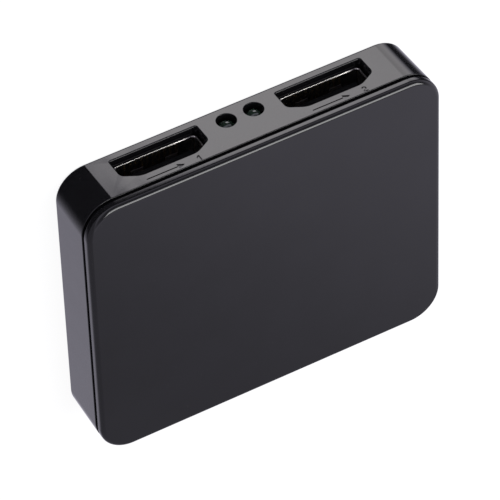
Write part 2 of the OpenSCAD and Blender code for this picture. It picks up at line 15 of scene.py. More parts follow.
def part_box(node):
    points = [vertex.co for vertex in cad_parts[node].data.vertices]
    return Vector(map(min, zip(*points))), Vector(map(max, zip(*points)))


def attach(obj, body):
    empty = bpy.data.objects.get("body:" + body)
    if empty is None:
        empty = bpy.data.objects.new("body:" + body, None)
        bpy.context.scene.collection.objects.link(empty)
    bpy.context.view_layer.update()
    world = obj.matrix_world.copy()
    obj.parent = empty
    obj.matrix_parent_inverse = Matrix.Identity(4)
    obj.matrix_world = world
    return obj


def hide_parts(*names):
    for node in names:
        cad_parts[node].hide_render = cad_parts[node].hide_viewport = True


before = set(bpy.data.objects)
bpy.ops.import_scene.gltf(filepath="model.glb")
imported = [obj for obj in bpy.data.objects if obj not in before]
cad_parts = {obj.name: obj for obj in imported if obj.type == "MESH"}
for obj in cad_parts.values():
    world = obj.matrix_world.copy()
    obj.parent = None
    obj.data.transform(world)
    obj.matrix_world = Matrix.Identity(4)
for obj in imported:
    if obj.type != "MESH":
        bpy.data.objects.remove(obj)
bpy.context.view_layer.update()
MM = 0.001


# %% [markdown]
# The camera
#
# The photograph was taken with a long lens, so the box hardly tapers. There the box stands on its input
# end, and here it lies on its back. Turning the box would break the shared frame, so the camera is rolled
# instead, after it is set by the usual azimuth and elevation.

# %% Set up the camera
VIEW_AZIMUTH = math.radians(205.498)
VIEW_ELEVATION = math.radians(38.565)
VIEW_ROLL = math.radians(140.381)
VIEW_DISTANCE = 722.27 * MM
VIEW_AIM = Vector((-0.629, -0.529, 5.836)) * MM
VIEW_LENS = 332.96


def linked(name, data):
    made = bpy.data.objects.new(name, data)
    bpy.context.scene.collection.objects.link(made)
    return made


def photograph_camera():
    lens = bpy.data.cameras.new("photograph_lens")
    lens.lens = VIEW_LENS
    camera = linked("photograph_camera", lens)
    level = Matrix.Rotation(VIEW_AZIMUTH, 3, "Z") @ Matrix.Rotation(math.pi / 2 - VIEW_ELEVATION, 3, "X")
    rolled = level @ Matrix.Rotation(VIEW_ROLL, 3, "Z")
    camera.matrix_world = Matrix.LocRotScale(VIEW_AIM + level.col[2] * VIEW_DISTANCE, rolled, None)
    bpy.context.scene.camera = camera
    return camera


camera = photograph_camera()
bpy.context.scene.view_settings.view_transform = "Standard"
print("Camera at", [round(x / MM) for x in camera.location], "mm")

# %% [markdown]
# Floor, room and light
#
# Gloss black plastic is a dark mirror: what it reflects matters more than its own colour. The floor is white
# paper, and a softbox overhead adds its highlight and a soft shadow. The rest is the room, which only
# reflections see in full: a light panel low in front of the port end, dark cloth beside it, white paper
# behind, and a sky that is graded from one corner of the lid to the other and dim overhead.
# Cards on stands could do the same, but a room painted by direction shades each flat face evenly.


# %% Node helpers
def new_node(tree, kind, inputs=(), **settings):
    """A node with its settings, whose inputs are linked to outputs or set to plain values."""
    node = tree.nodes.new(kind)
    for name, value in settings.items():
        setattr(node, name, value)
    for key, value in dict(inputs).items():
        if isinstance(value, bpy.types.NodeSocket):
            tree.links.new(value, node.inputs[key])
        else:
            node.inputs[key].default_value = value
    return node


def math_node(tree, operation, first, second, clamp=False):
    node = new_node(tree, "ShaderNodeMath", {0: first, 1: second}, operation=operation, use_clamp=clamp)
    return node.outputs[0]


def blend_node(tree, factor, first, second, **settings):
    node = new_node(tree, "ShaderNodeMix", {"Factor": factor, "A": first, "B": second}, **settings)
    return node.outputs["Result"]


def ramp_node(tree, value, low, high, to_low=0.0, to_high=1.0):
    inputs = {"Value": value, "From Min": low, "From Max": high, "To Min": to_low, "To Max": to_high}
    return new_node(tree, "ShaderNodeMapRange", inputs, interpolation_type="SMOOTHSTEP").outputs["Result"]


def blank_material(name):
    material = bpy.data.materials.new(name)
    material.use_nodes = True
    material.node_tree.nodes.clear()
    return material, material.node_tree


# %% The white paper floor
FLOOR_HALF = 2.0
FLOOR_DROP = 0.02 * MM
PAPER_TONE = (0.8, 0.8, 0.8, 1.0)
PAPER_SHADE = (0.12, 0.12, 0.12, 1.0)
PAPER_GLOW = 0.93


def paper_material():
    """White paper: to the camera it glows like the background, and still shows a faint shadow."""
    material, tree = blank_material("white_paper")
    plain = new_node(tree, "ShaderNodeBsdfDiffuse", {"Color": PAPER_TONE})
    shadowed = new_node(tree, "ShaderNodeBsdfDiffuse", {"Color": PAPER_SHADE})
    glow = new_node(tree, "ShaderNodeEmission", {"Strength": PAPER_GLOW})
    seen = new_node(tree, "ShaderNodeAddShader", {0: shadowed.outputs[0], 1: glow.outputs[0]})
    by_camera = new_node(tree, "ShaderNodeLightPath").outputs["Is Camera Ray"]
    mix = new_node(tree, "ShaderNodeMixShader", {0: by_camera, 1: plain.outputs[0], 2: seen.outputs[0]})
    new_node(tree, "ShaderNodeOutputMaterial", {0: mix.outputs[0]})
    return material


def paper_floor():
    signs = ((-1, -1), (1, -1), (1, 1), (-1, 1))
    corners = [(i * FLOOR_HALF, j * FLOOR_HALF, -FLOOR_DROP) for i, j in signs]
    mesh = bpy.data.meshes.new("paper_floor")
    mesh.from_pydata(corners, [], [tuple(range(len(corners)))])
    mesh.materials.append(paper_material())
    sheet = linked("paper_floor", mesh)
    sheet.visible_glossy = False
    sheet.visible_transmission = False
    return sheet


print("Floor", [round(x, 2) for x in paper_floor().dimensions.xy], "m")

# %% The room
ROOM_FILL = 0.45
ROOM_TINT = (0.97, 0.935, 1.11, 1.0)
PANEL_TINT = (1.0, 0.97, 1.0, 1.0)
SKY_GRADE = (0.57, 0.68, 0.464)
SKY_DOTS = (-0.035, 0.055)
SKY_LEVELS = (0.325, 0.76)
DIM_WAY = (0.25, 0.45, 0.86)
DIM_COSINES = (0.42, 0.80)
DIM_LEVEL = 0.20
PANEL_AZIMUTHS = (24.7, 26.5, 54, 81)
PANEL_HEIGHTS = (-0.86, -0.74, -0.66, -0.50)
PANEL_TURN = (27, 38)
PANEL_LEVELS = (3.4, 2.2)
PAPER_AZIMUTHS = (92, 130, 205, 262)
PAPER_LEVEL = 0.66
CLOTH_LEVEL = 0.04
SKYLINE = (-0.25, -0.15)


def pulse_node(tree, value, limits):
    """A mask that rises between the first two limits and falls between the last two."""
    rise = ramp_node(tree, value, limits[0], limits[1])
    fall = ramp_node(tree, value, limits[2], limits[3], 1.0, 0.0)
    return math_node(tree, "MULTIPLY", rise, fall)


def reflected_room(tree):
    """What a reflection meets, by direction: azimuths count from +Y towards +X, in degrees."""
    way = new_node(tree, "ShaderNodeTexCoord").outputs["Generated"]
    parts = new_node(tree, "ShaderNodeSeparateXYZ", {0: way}).outputs
    turn = math_node(tree, "ARCTAN2", parts["X"], parts["Y"])
    turn = math_node(tree, "FLOORED_MODULO", math_node(tree, "DEGREES", turn, 0.0), 360.0)
    height = parts["Z"]
    cosines = []
    for direction in (SKY_GRADE, DIM_WAY):
        node = new_node(tree, "ShaderNodeVectorMath", {0: way, 1: direction}, operation="DOT_PRODUCT")
        cosines.append(node.outputs["Value"])
    sky = ramp_node(tree, cosines[0], *SKY_DOTS, *SKY_LEVELS)
    sky = blend_node(tree, ramp_node(tree, cosines[1], *DIM_COSINES), sky, DIM_LEVEL)
    ground = blend_node(tree, pulse_node(tree, turn, PAPER_AZIMUTHS), CLOTH_LEVEL, PAPER_LEVEL)
    panel = [pulse_node(tree, turn, PANEL_AZIMUTHS), pulse_node(tree, height, PANEL_HEIGHTS)]
    panel = math_node(tree, "MULTIPLY", *panel)
    ground = blend_node(tree, panel, ground, ramp_node(tree, turn, *PANEL_TURN, *PANEL_LEVELS))
    return blend_node(tree, ramp_node(tree, height, *SKYLINE), ground, sky), panel


def room_world():
    world = bpy.data.worlds.new("white_room")
    world.use_nodes = True
    bpy.context.scene.world = world
    tree = world.node_tree
    tree.nodes.clear()
    rays = new_node(tree, "ShaderNodeLightPath").outputs
    mirrored = math_node(tree, "ADD", rays["Is Glossy Ray"], rays["Is Transmission Ray"], clamp=True)
    reflected, panel = reflected_room(tree)
    level = blend_node(tree, mirrored, ROOM_FILL, reflected)
    tint = blend_node(tree, panel, ROOM_TINT, PANEL_TINT, data_type="RGBA")
    room = new_node(tree, "ShaderNodeBackground", {"Strength": level, "Color": tint})
    white = new_node(tree, "ShaderNodeBackground")
    shown = {0: rays["Is Camera Ray"], 1: room.outputs[0], 2: white.outputs[0]}
    mix = new_node(tree, "ShaderNodeMixShader", shown)
    new_node(tree, "ShaderNodeOutputWorld", {0: mix.outputs[0]})
    return world


print("World", room_world().name)

# %% The softbox overhead
SOFTBOX_WAY = Vector((0.34, 0.16, 0.92)).normalized()
SOFTBOX_DISTANCE = 0.45
SOFTBOX_SIZE = (0.42, 0.27)
SOFTBOX_WATTS = 2.0


def softbox():
    data = bpy.data.lights.new("softbox", "AREA")
    data.shape = "RECTANGLE"
    data.size, data.size_y = SOFTBOX_SIZE
    data.energy = SOFTBOX_WATTS
    light = linked("softbox", data)
    across = Vector((0, 1, 0)).cross(SOFTBOX_WAY).normalized()
    facing = Matrix((across, SOFTBOX_WAY.cross(across), SOFTBOX_WAY)).transposed()
    light.matrix_world = Matrix.LocRotScale(SOFTBOX_WAY * SOFTBOX_DISTANCE, facing, None)
    light.visible_camera = False
    return light


print("Softbox at", [round(x, 2) for x in softbox().location], "m")

# %% [markdown]
# Finishes
#
# No surface of a used object is one flat colour. Moulded plastic has a fine grain, hair scratches and
# dust, metal has rolling marks, and a board has the weave of its glass cloth. Each finish could draw its
# own, but these effects repeat from finish to finish, so each is a node group that puts out masks, and
# every finish sets its own amounts. The groups read object coordinates in metres, so a scale of 5000 means
# details of about 0.2 mm.

# %% A group for grain, mottle and waves
NOISE_DETAIL = {"Grain": 3.0, "Mottle": 5.0, "Wave": 0.0}
WAVE_STRETCH = (1.0, 1.0, 0.3)


def new_group(name, sizes, masks):
    """A group that reads a place and named sizes; its sockets come back with it."""
    group = bpy.data.node_groups.new(name, "ShaderNodeTree")
    group.interface.new_socket("Place", in_out="INPUT", socket_type="NodeSocketVector")
    for label, value in sizes.items():
        made = group.interface.new_socket(label, in_out="INPUT", socket_type="NodeSocketFloat")
        made.default_value = value
    for label in masks:
        group.interface.new_socket(label, in_out="OUTPUT", socket_type="NodeSocketFloat")
    return group, new_node(group, "NodeGroupInput").outputs, new_node(group, "NodeGroupOutput").inputs


def noise_value(group, place, scale, detail):
    inputs = {"Vector": place, "Scale": scale, "Detail": detail}
    return new_node(group, "ShaderNodeTexNoise", inputs).outputs["Fac"]


def grain_group():
    sizes = {"Grain Scale": 5000.0, "Mottle Scale": 120.0, "Wave Scale": 300.0}
    group, source, result = new_group("surface_grain", sizes, NOISE_DETAIL)
    drawn = new_node(group, "ShaderNodeMapping", {"Vector": source["Place"], "Scale": WAVE_STRETCH})
    for label, detail in NOISE_DETAIL.items():
        place = drawn.outputs["Vector"] if label == "Wave" else source["Place"]
        group.links.new(noise_value(group, place, source[label + " Scale"], detail), result[label])
    return group


GRAIN = grain_group()
print("Group", GRAIN.name, "with", len(GRAIN.nodes), "nodes")

# %% A group for scratches and dust
HAIR_TURNS = (0.5, 2.2)
HAIR_TILT = (0.3, 0.2)
HAIR_STRETCH = (1.0, 0.03, 1.0)
HAIR_DETAIL = 2.0
HAIR_EDGE = (0.66, 0.72)
DUST_FREE_SHARE = 0.6


def wear_group():
    sizes = {"Scratch Scale": 300.0, "Dust Scale": 700.0, "Dust Size": 0.05}
    group, source, result = new_group("wear_and_dust", sizes, ("Scratches", "Dust"))
    place = source["Place"]
    hairs = []
    for turn in HAIR_TURNS:
        drawn = {"Vector": place, "Rotation": (*HAIR_TILT, turn), "Scale": HAIR_STRETCH}
        mapping = new_node(group, "ShaderNodeMapping", drawn)
        fine = noise_value(group, mapping.outputs["Vector"], source["Scratch Scale"], HAIR_DETAIL)
        hairs.append(ramp_node(group, fine, *HAIR_EDGE))
    group.links.new(math_node(group, "MAXIMUM", *hairs), result["Scratches"])
    cells = new_node(group, "ShaderNodeTexVoronoi", {"Vector": place, "Scale": source["Dust Scale"]})
    near = math_node(group, "LESS_THAN", cells.outputs["Distance"], source["Dust Size"])
    chance = new_node(group, "ShaderNodeSeparateColor", {0: cells.outputs["Color"]})
    few = math_node(group, "GREATER_THAN", chance.outputs[0], DUST_FREE_SHARE)
    group.links.new(math_node(group, "MULTIPLY", near, few), result["Dust"])
    return group


WEAR = wear_group()
print("Group", WEAR.name, "with", len(WEAR.nodes), "nodes")

# %% A group for the weave of glass cloth
SQUARES_PER_WAVE = 10 / math.pi


def weave_group():
    group, source, result = new_group("glass_weave", {"Weave Scale": 800.0}, ("Weave",))
    drawn = {"Vector": source["Place"], "Scale": source["Weave Scale"]}
    threads = []
    for direction in ("X", "Y"):
        wave = new_node(group, "ShaderNodeTexWave", drawn, bands_direction=direction)
        threads.append(wave.outputs["Fac"])
    drawn["Scale"] = math_node(group, "MULTIPLY", source["Weave Scale"], SQUARES_PER_WAVE)
    squares = new_node(group, "ShaderNodeTexChecker", drawn)
    group.links.new(blend_node(group, squares.outputs["Fac"], *threads), result["Weave"])
    return group


WEAVE = weave_group()
print("Group", WEAVE.name, "with", len(WEAVE.nodes), "nodes")

# %% One maker for all finishes
MOTTLE_EDGE = (0.3, 0.7)
GRAIN_EDGE = (0.25, 0.75)
SCRATCH_SINK = -0.5
RELIEF = 0.02 * MM
DUST_TONE = (0.30, 0.29, 0.27)


def colour(red, green, blue):
    return (red, green, blue, 1.0)


def finish(name, tone, second_tone, rough, metallic=0.0, ior=1.5, specular=0.5, grain=5000.0, mottle=120.0,
           bump=0.02, wave=0.0, weave=0.0, scratch=0.05, dust=0.3):
    material, tree = blank_material(name)
    place = new_node(tree, "ShaderNodeTexCoord").outputs["Object"]
    sizes = {"Place": place, "Grain Scale": grain, "Mottle Scale": mottle}
    fine = new_node(tree, "ShaderNodeGroup", sizes, node_tree=GRAIN).outputs
    wear = new_node(tree, "ShaderNodeGroup", {"Place": place}, node_tree=WEAR).outputs
    mottled = ramp_node(tree, fine["Mottle"], *MOTTLE_EDGE)
    tones = blend_node(tree, mottled, colour(*tone), colour(*second_tone), data_type="RGBA")
    dusted = math_node(tree, "MULTIPLY", wear["Dust"], dust)
    tones = blend_node(tree, dusted, tones, colour(*DUST_TONE), data_type="RGBA")
    roughness = ramp_node(tree, fine["Grain"], *GRAIN_EDGE, *rough)
    scratched = math_node(tree, "MULTIPLY", wear["Scratches"], scratch)
    grooves = math_node(tree, "MULTIPLY", wear["Scratches"], SCRATCH_SINK)
    relief = math_node(tree, "ADD", fine["Grain"], grooves)
    if weave:
        cloth = new_node(tree, "ShaderNodeGroup", {"Place": place}, node_tree=WEAVE)
        threads = math_node(tree, "MULTIPLY", cloth.outputs["Weave"], weave)
        relief = math_node(tree, "ADD", relief, threads)
    swell = new_node(tree, "ShaderNodeBump", {"Distance": wave * MM, "Height": fine["Wave"]})
    bumps = {"Strength": bump, "Distance": RELIEF, "Height": relief, "Normal": swell.outputs["Normal"]}
    surface = new_node(tree, "ShaderNodeBsdfPrincipled", {
        "Base Color": tones,
        "Metallic": metallic,
        "Roughness": math_node(tree, "ADD", roughness, scratched),
        "IOR": ior,
        "Specular IOR Level": specular,
        "Normal": new_node(tree, "ShaderNodeBump", bumps).outputs["Normal"],
    })
    new_node(tree, "ShaderNodeOutputMaterial", {0: surface.outputs[0]})
    return material


# %% Finishes of the case, the sockets and the lamps
GLOSS_BLACK = finish("gloss_black_plastic", (0.005, 0.005, 0.0055), (0.006, 0.006, 0.0068), (0.05, 0.075),
                     ior=1.54, bump=0.015, scratch=0.0, dust=0.06)
SHELL_BLACK = finish("gloss_black_shell", (0.005, 0.005, 0.0055), (0.006, 0.006, 0.0068), (0.05, 0.075),
                     ior=1.54, bump=0.015, wave=0.014, scratch=0.03, dust=0.10)
PLATED = finish("nickel_plate", (0.72, 0.70, 0.66), (0.60, 0.58, 0.55), (0.18, 0.30), metallic=1.0,
                grain=9000.0, mottle=600.0, bump=0.06, dust=0.0)
GOLD = finish("contact_gold", (0.72, 0.50, 0.19), (0.60, 0.41, 0.15), (0.32, 0.48), metallic=1.0,
              mottle=900.0, dust=0.0)
MOULDING = finish("socket_moulding", (0.004, 0.004, 0.0045), (0.006, 0.006, 0.0066), (0.45, 0.62),
                  specular=0.04, mottle=500.0, bump=0.1, dust=0.05)
# The springs' steel is duller than the plate, and its colour is also darkened as painted shade for the
# springs deep inside each socket.
SPRING_STEEL_PAINTED_SHADE = finish("spring_steel_painted_shade", (0.36, 0.35, 0.33), (0.28, 0.27, 0.26), (0.38, 0.52), metallic=1.0,
                      grain=9000.0, mottle=600.0, bump=0.05, dust=0.0)
LAMP_RESIN = finish("lamp_resin", (0.010, 0.022, 0.014), (0.014, 0.028, 0.018), (0.04, 0.08), ior=1.75,
                    mottle=500.0, bump=0.01, scratch=0.0, dust=0.0)
print("Finishes so far:", len(bpy.data.materials))

# %% [markdown]
# The deep shell of the case
#
# On the real box this is one moulded tray: four walls, a floor, a neck that leaves the dark groove below the
# lid, an opening for each socket, two lamp holes and the engraved marks. It could be a softened copy of the
# construction part, but gloss black shows every break in its highlights. A loft of rounded rings gives
# even corners, the openings are then cut with exact Booleans, and only their rims are bevelled.

# %% Rings and lofts
CORNER_STEPS = 24


def rounded_ring(half_x, half_y, radius, z):
    points = []
    for quarter, (sign_x, sign_y) in enumerate(((1, 1), (-1, 1), (-1, -1), (1, -1))):
        for step in range(CORNER_STEPS + 1):
            angle = math.pi / 2 * (quarter + step / CORNER_STEPS)
            x = sign_x * (half_x - radius) + radius * math.cos(angle)
            y = sign_y * (half_y - radius) + radius * math.sin(angle)
            points.append((x, y, z))
    return points


def loft(rings, closed=False):
    """A skin over a row of rings, with a cap at both ends unless the row is closed on itself."""
    shape = bmesh.new()
    rows = [[shape.verts.new(point) for point in ring] for ring in rings]
    pairs = list(zip(rows, rows[1:]))
    if closed:
        pairs.append((rows[-1], rows[0]))
    for lower, upper in pairs:
        for i in range(len(lower)):
            j = (i + 1) % len(lower)
            shape.faces.new((lower[i], lower[j], upper[j], upper[i]))
    if not closed:
        shape.faces.new(list(reversed(rows[0])))
        shape.faces.new(rows[-1])
    bmesh.ops.recalc_face_normals(shape, faces=shape.faces)
    return shape


def arc_points(centre_a, centre_b, radius, start, stop, steps=8):
    angles = [math.radians(start + (stop - start) * i / steps) for i in range(steps + 1)]
    return [(centre_a + radius * math.cos(a), centre_b + radius * math.sin(a)) for a in angles]


# %% Sizes of the case
shell_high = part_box("main_shell")[1]
HALF_X = shell_high.x
HALF_Y = shell_high.y
CORNER_R = 5.5 * MM
WALL = 1.8 * MM
FLOOR_Z = 1.3 * MM
BACK_EDGE_R = 0.5 * MM
DRAFT = math.radians(1.7)
GROOVE_W = 0.65 * MM
GROOVE_DEPTH = 0.6 * MM
COVER_Z = shell_high.z
SHELL_TOP = COVER_Z - GROOVE_W
LEAN = SHELL_TOP * math.tan(DRAFT)
LIP_R = 0.12 * MM
LIP_STEPS = 4
INNER_R = 0.5 * MM
INNER_STEPS = 6


def case_rings(profile):
    return [rounded_ring(HALF_X - m, HALF_Y - m, CORNER_R - m, z) for m, z in profile]


def wall_inset(z):
    """How far the outer wall leans in at a height, so that the tray leaves its mould."""
    return LEAN * (SHELL_TOP - LIP_R - z) / (SHELL_TOP - LIP_R - BACK_EDGE_R)


def shell_profile():
    back = arc_points(LEAN + BACK_EDGE_R, BACK_EDGE_R, BACK_EDGE_R, 270, 180)
    lip = arc_points(LIP_R, SHELL_TOP - LIP_R, LIP_R, 180, 90, LIP_STEPS)
    neck = [(GROOVE_DEPTH, SHELL_TOP), (GROOVE_DEPTH, COVER_Z - LIP_R), (GROOVE_DEPTH + LIP_R, COVER_Z)]
    rim = [(WALL - LIP_R, COVER_Z), (WALL, COVER_Z - LIP_R)]
    root = arc_points(WALL + INNER_R, FLOOR_Z + INNER_R, INNER_R, 180, 270, INNER_STEPS)
    return back + lip + neck + rim + root


tray = loft(case_rings(shell_profile()))
print("Tray", len(tray.faces), "faces")

# %% [markdown]
# Openings and their rims
#
# A socket's outline is a rectangle with two bevelled corners, and the opening in the wall follows it with a
# little room. The outline is worked out from the same sizes as the socket's sheet metal, then its corners
# are rounded with short arcs. The rim of a moulded opening is never sharp: a small round one gives the
# thin bright line along each opening, and a smaller one the crisp edge of the lamp holes. A bevel over the
# whole tray would round its lips twice, so only the edges of the openings are picked.

# %% Outlines of the sockets
MOUTH = {"w": 14.0, "h": 4.55, "straight": 3.15, "narrow": 9.1, "round": 0.5}
POWER_MOUTH = {"w": 6.9, "h": 1.85, "straight": 1.1, "narrow": 5.4, "round": 0.25}
ROUND_STEPS = 6


def socket_outline(mouth, grow, wider=0.0):
    width, narrow = mouth["w"] + wider, mouth["narrow"] + wider
    run, rise = (width - narrow) / 2, mouth["h"] - mouth["straight"]
    slope = math.hypot(run, rise)
    side = mouth["straight"] + grow * (1 - rise / slope) / (run / slope)
    top = narrow / 2 + grow * (1 - run / slope) / (rise / slope)
    half = width / 2 + grow
    high = mouth["h"] + grow
    return [(-half, -grow), (half, -grow), (half, side), (top, high), (-top, high), (-half, side)]


def rounded_outline(points, radii):
    made = []
    for i, (point, radius) in enumerate(zip(points, radii)):
        corner = Vector(point)
        before = (Vector(points[i - 1]) - corner).normalized()
        after = (Vector(points[(i + 1) % len(points)]) - corner).normalized()
        half = before.angle(after) / 2
        side = 1 if after.cross(before) > 0 else -1
        centre = corner + (before + after).normalized() * radius / math.sin(half)
        start = corner + before * radius / math.tan(half) - centre
        for step in range(ROUND_STEPS + 1):
            turn = side * (math.pi - 2 * half) * step / ROUND_STEPS
            made.append(centre + Matrix.Rotation(turn, 2) @ start)
    return made


def mouth_outline(mouth, grow):
    """The outline of a mouth grown outwards, with the same round at all its corners."""
    corners = socket_outline(mouth, grow)
    return rounded_outline(corners, len(corners) * [mouth["round"] + grow])


# %% Cutters for the openings
SOCKET_NODES = {"out1": 1, "out2": 1, "in": -1}
SHEET = 0.25
PORT_SIDE_GAP = 0.3
PORT_HEIGHT_GAP = 0.1
POWER_GAP = 0.3
OPENING_ROUNDS = (0.3, 0.3, 1.0, 3.0, 3.0, 1.0)
LAMP_NODES = ("led_1", "led_2")
LAMP_GAP = 0.1 * MM
LAMP_FLANGE = 0.2 * MM
TURN_STEPS = 48
THROUGH = 0.5 * MM


def node_middle(node):
    low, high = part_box(node)
    return (low + high) / 2


def circle(radius, steps=TURN_STEPS):
    angles = [2 * math.pi * i / steps for i in range(steps)]
    return [(radius * math.cos(a), radius * math.sin(a)) for a in angles]


def prism(outline, place, y_from, y_to):
    """A prism along Y from an outline in millimetres; place gives X, Z and the way that its +X points."""
    x, z, way = place
    return loft([[(x + way * p[0] * MM, y, z + p[1] * MM) for p in outline] for y in (y_from, y_to)])


def wall_cutter(outline, place, way):
    return prism(outline, place, way * (HALF_Y + THROUGH), way * (HALF_Y - WALL - THROUGH))


def opening_cutters():
    wider = 2 * (PORT_SIDE_GAP - PORT_HEIGHT_GAP)
    opening = rounded_outline(socket_outline(MOUTH, SHEET + PORT_HEIGHT_GAP, wider), OPENING_ROUNDS)
    tools = []
    for port, way in SOCKET_NODES.items():
        low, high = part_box(port + "_insulator")
        place = ((low.x + high.x) / 2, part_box(port + "_shell")[0].z + SHEET * MM, way)
        tools.append(wall_cutter(opening, place, way))
    place = (node_middle("power_shell").x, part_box("power_shell")[0].z + SHEET * MM, -1)
    tools.append(wall_cutter(mouth_outline(POWER_MOUTH, SHEET + POWER_GAP), place, -1))
    for node in LAMP_NODES:
        low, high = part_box(node)
        radius = (high.x - low.x) / 2 - LAMP_FLANGE + LAMP_GAP
        middle = node_middle(node)
        tools.append(wall_cutter(circle(radius / MM), (middle.x, middle.z, 1), 1))
    return tools


cutters = opening_cutters()
print("Openings to cut:", len(cutters))

# %% Exact cuts
WELD = 0.001 * MM


def as_object(name, shape):
    mesh = bpy.data.meshes.new(name)
    shape.to_mesh(mesh)
    shape.free()
    return linked(name, mesh)


def evaluated_mesh(piece):
    graph = bpy.context.evaluated_depsgraph_get()
    return bpy.data.meshes.new_from_object(piece.evaluated_get(graph))


def settle(piece, step):
    """Makes the result of a modifier the piece's own mesh."""
    mesh = evaluated_mesh(piece)
    piece.modifiers.remove(step)
    old = piece.data
    piece.data = mesh
    bpy.data.meshes.remove(old)


def drop(piece):
    mesh = piece.data
    bpy.data.objects.remove(piece)
    if mesh.users == 0:
        bpy.data.meshes.remove(mesh)


def cut(shape, tools, operation="DIFFERENCE"):
    body = as_object("cut_body", shape)
    for tool in tools:
        blade = as_object("cut_tool", tool)
        step = body.modifiers.new("cut", "BOOLEAN")
        step.solver = "EXACT"
        step.operation = operation
        step.object = blade
        settle(body, step)
        drop(blade)
    result = bmesh.new()
    result.from_mesh(body.data)
    drop(body)
    bmesh.ops.remove_doubles(result, verts=result.verts, dist=WELD)
    return result


tray = cut(tray, cutters)
print("Tray with openings", len(tray.faces), "faces")

# %% Round the rims
RIM_R = 0.22 * MM
LAMP_RIM_R = 0.08 * MM
RIM_STEPS = 4
RIM_ANGLE = 1.0
LAMP_REACH = 2 * MM
ROUND_PROFILE = 0.5


def bevel(shape, edges, width, steps, clamp):
    bmesh.ops.bevel(shape, geom=edges, offset=width, offset_type="OFFSET", segments=steps,
                    profile=ROUND_PROFILE, affect="EDGES", clamp_overlap=clamp)


def rim_edges(shape):
    rims = []
    for edge in shape.edges:
        on_face = all(abs(HALF_Y - wall_inset(v.co.z) - abs(v.co.y)) < 2 * WELD for v in edge.verts)
        inside = all(abs(v.co.x) < HALF_X - CORNER_R for v in edge.verts)
        level = all(BACK_EDGE_R < v.co.z < SHELL_TOP - 2 * LIP_R for v in edge.verts)
        if on_face and inside and level and len(edge.link_faces) == 2 and edge.calc_face_angle() > RIM_ANGLE:
            rims.append(edge)
    return rims


def soften_rims(shape):
    lamps = [node_middle(node).xz for node in LAMP_NODES]
    near, wide = [], []
    for edge in rim_edges(shape):
        place = edge.verts[0].co
        of_lamp = place.y > 0 and min((place.xz - lamp).length for lamp in lamps) < LAMP_REACH
        (near if of_lamp else wide).append(edge)
    for rims, radius in ((near, LAMP_RIM_R), (wide, RIM_R)):
        bevel(shape, rims, radius, RIM_STEPS, False)
    return len(near), len(wide)


print("Rim edges rounded, lamps and sockets:", soften_rims(tray))

# %% [markdown]
# Engraved marks
#
# Each output has an arrow that points right, to its number, and the input end has an arrow that points left
# and the sign for direct current. They could be dark lines in the finish, but marks cut 0.2 mm deep keep
# dark floors and bright edges from every side. The drawings stand upright as seen with the lid towards the
# viewer, so up in a drawing is down in the box.

# %% Draw the marks
MARK_H = 1.2
STROKE = 0.22
ARROW_LEN = 6.6
FLAG = 1.6 * STROKE
BOWL_ENDS = (-30, -40)
BOWL_FOOT = 1.5 * STROKE
DASH = MARK_H / 2
DASH_STEP = 1.6 * DASH
BAR_LEN = 4.2 * DASH


def arrow_outline():
    neck, half, wing = ARROW_LEN - MARK_H, STROKE / 2, MARK_H / 2
    return [(0, -half), (neck, -half), (neck, -wing), (ARROW_LEN, 0), (neck, wing), (neck, half), (0, half)]


def one_outline():
    half = STROKE / 2
    return [(-half, 0), (half, 0), (half, MARK_H), (-half, MARK_H), (-half - FLAG, MARK_H - FLAG),
            (-half - FLAG, MARK_H - 2 * FLAG), (-half, MARK_H - FLAG)]


def two_outline():
    outer = MARK_H / 3
    inner, middle = outer - STROKE, MARK_H - outer
    foot = [(BOWL_FOOT - outer, STROKE), (outer, STROKE), (outer, 0), (-outer, 0), (-outer, STROKE)]
    bowl = arc_points(0, middle, outer, 180, BOWL_ENDS[0])
    return bowl + foot + arc_points(0, middle, inner, BOWL_ENDS[1], 180)


def bar_outline(x, y, length):
    half, end = STROKE / 2, length / 2
    return [(x - end, y - half), (x + end, y - half), (x + end, y + half), (x - end, y + half)]


def current_outlines():
    """The sign for direct current: a bar over three dashes."""
    dashes = [bar_outline(x, 0, DASH) for x in (-DASH_STEP, 0, DASH_STEP)]
    return dashes + [bar_outline(0, 2 * STROKE, BAR_LEN)]


# %% Cut the marks
MARK_DEPTH = 0.2 * MM
MARK_EDGE = 0.2 * MM
NUMBER_X = 4.6 * MM


def mark_cutter(outline, x, up, way, flip=1):
    """A drawing sunk into an end wall at x, with its base line up from the lip; flip -1 mirrors it."""
    base = SHELL_TOP - MARK_EDGE - up * MM
    points = [(way * flip * px, -py) for px, py in outline]
    return prism(points, (x, base, 1), way * (HALF_Y + THROUGH), way * (HALF_Y - MARK_DEPTH))


def mark_cutters():
    tools = []
    for port, number in (("out1", one_outline()), ("out2", two_outline())):
        x = node_middle(port + "_insulator").x
        tools.append(mark_cutter(arrow_outline(), x - NUMBER_X, MARK_H / 2, 1))
        tools.append(mark_cutter(number, x + NUMBER_X, 0, 1))
    x = node_middle("in_insulator").x - ARROW_LEN / 2 * MM
    tools.append(mark_cutter(arrow_outline(), x, MARK_H / 2, -1, -1))
    x = node_middle("power_shell").x
    return tools + [mark_cutter(outline, x, MARK_H / 2 - STROKE, -1) for outline in current_outlines()]


tray = cut(tray, mark_cutters())
print("Tray with marks", len(tray.faces), "faces")

# %% A finished piece
SMOOTH_ANGLE = math.radians(32)
NORMAL_WEIGHT = 80


def finished_piece(name, shape, materials, body, slot, *nodes):
    piece = as_object(name, shape)
    piece.data.shade_smooth()
    piece.data.set_sharp_from_angle(angle=SMOOTH_ANGLE)
    for material in materials:
        piece.data.materials.append(material)
    step = piece.modifiers.new("even_normals", "WEIGHTED_NORMAL")
    step.keep_sharp = True
    step.weight = NORMAL_WEIGHT
    settle(piece, step)
    piece.data.name = name
    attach(piece, body)
    if nodes:
        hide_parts(*nodes)
    print(name, "on", body, "faces", len(piece.data.polygons))
    return piece


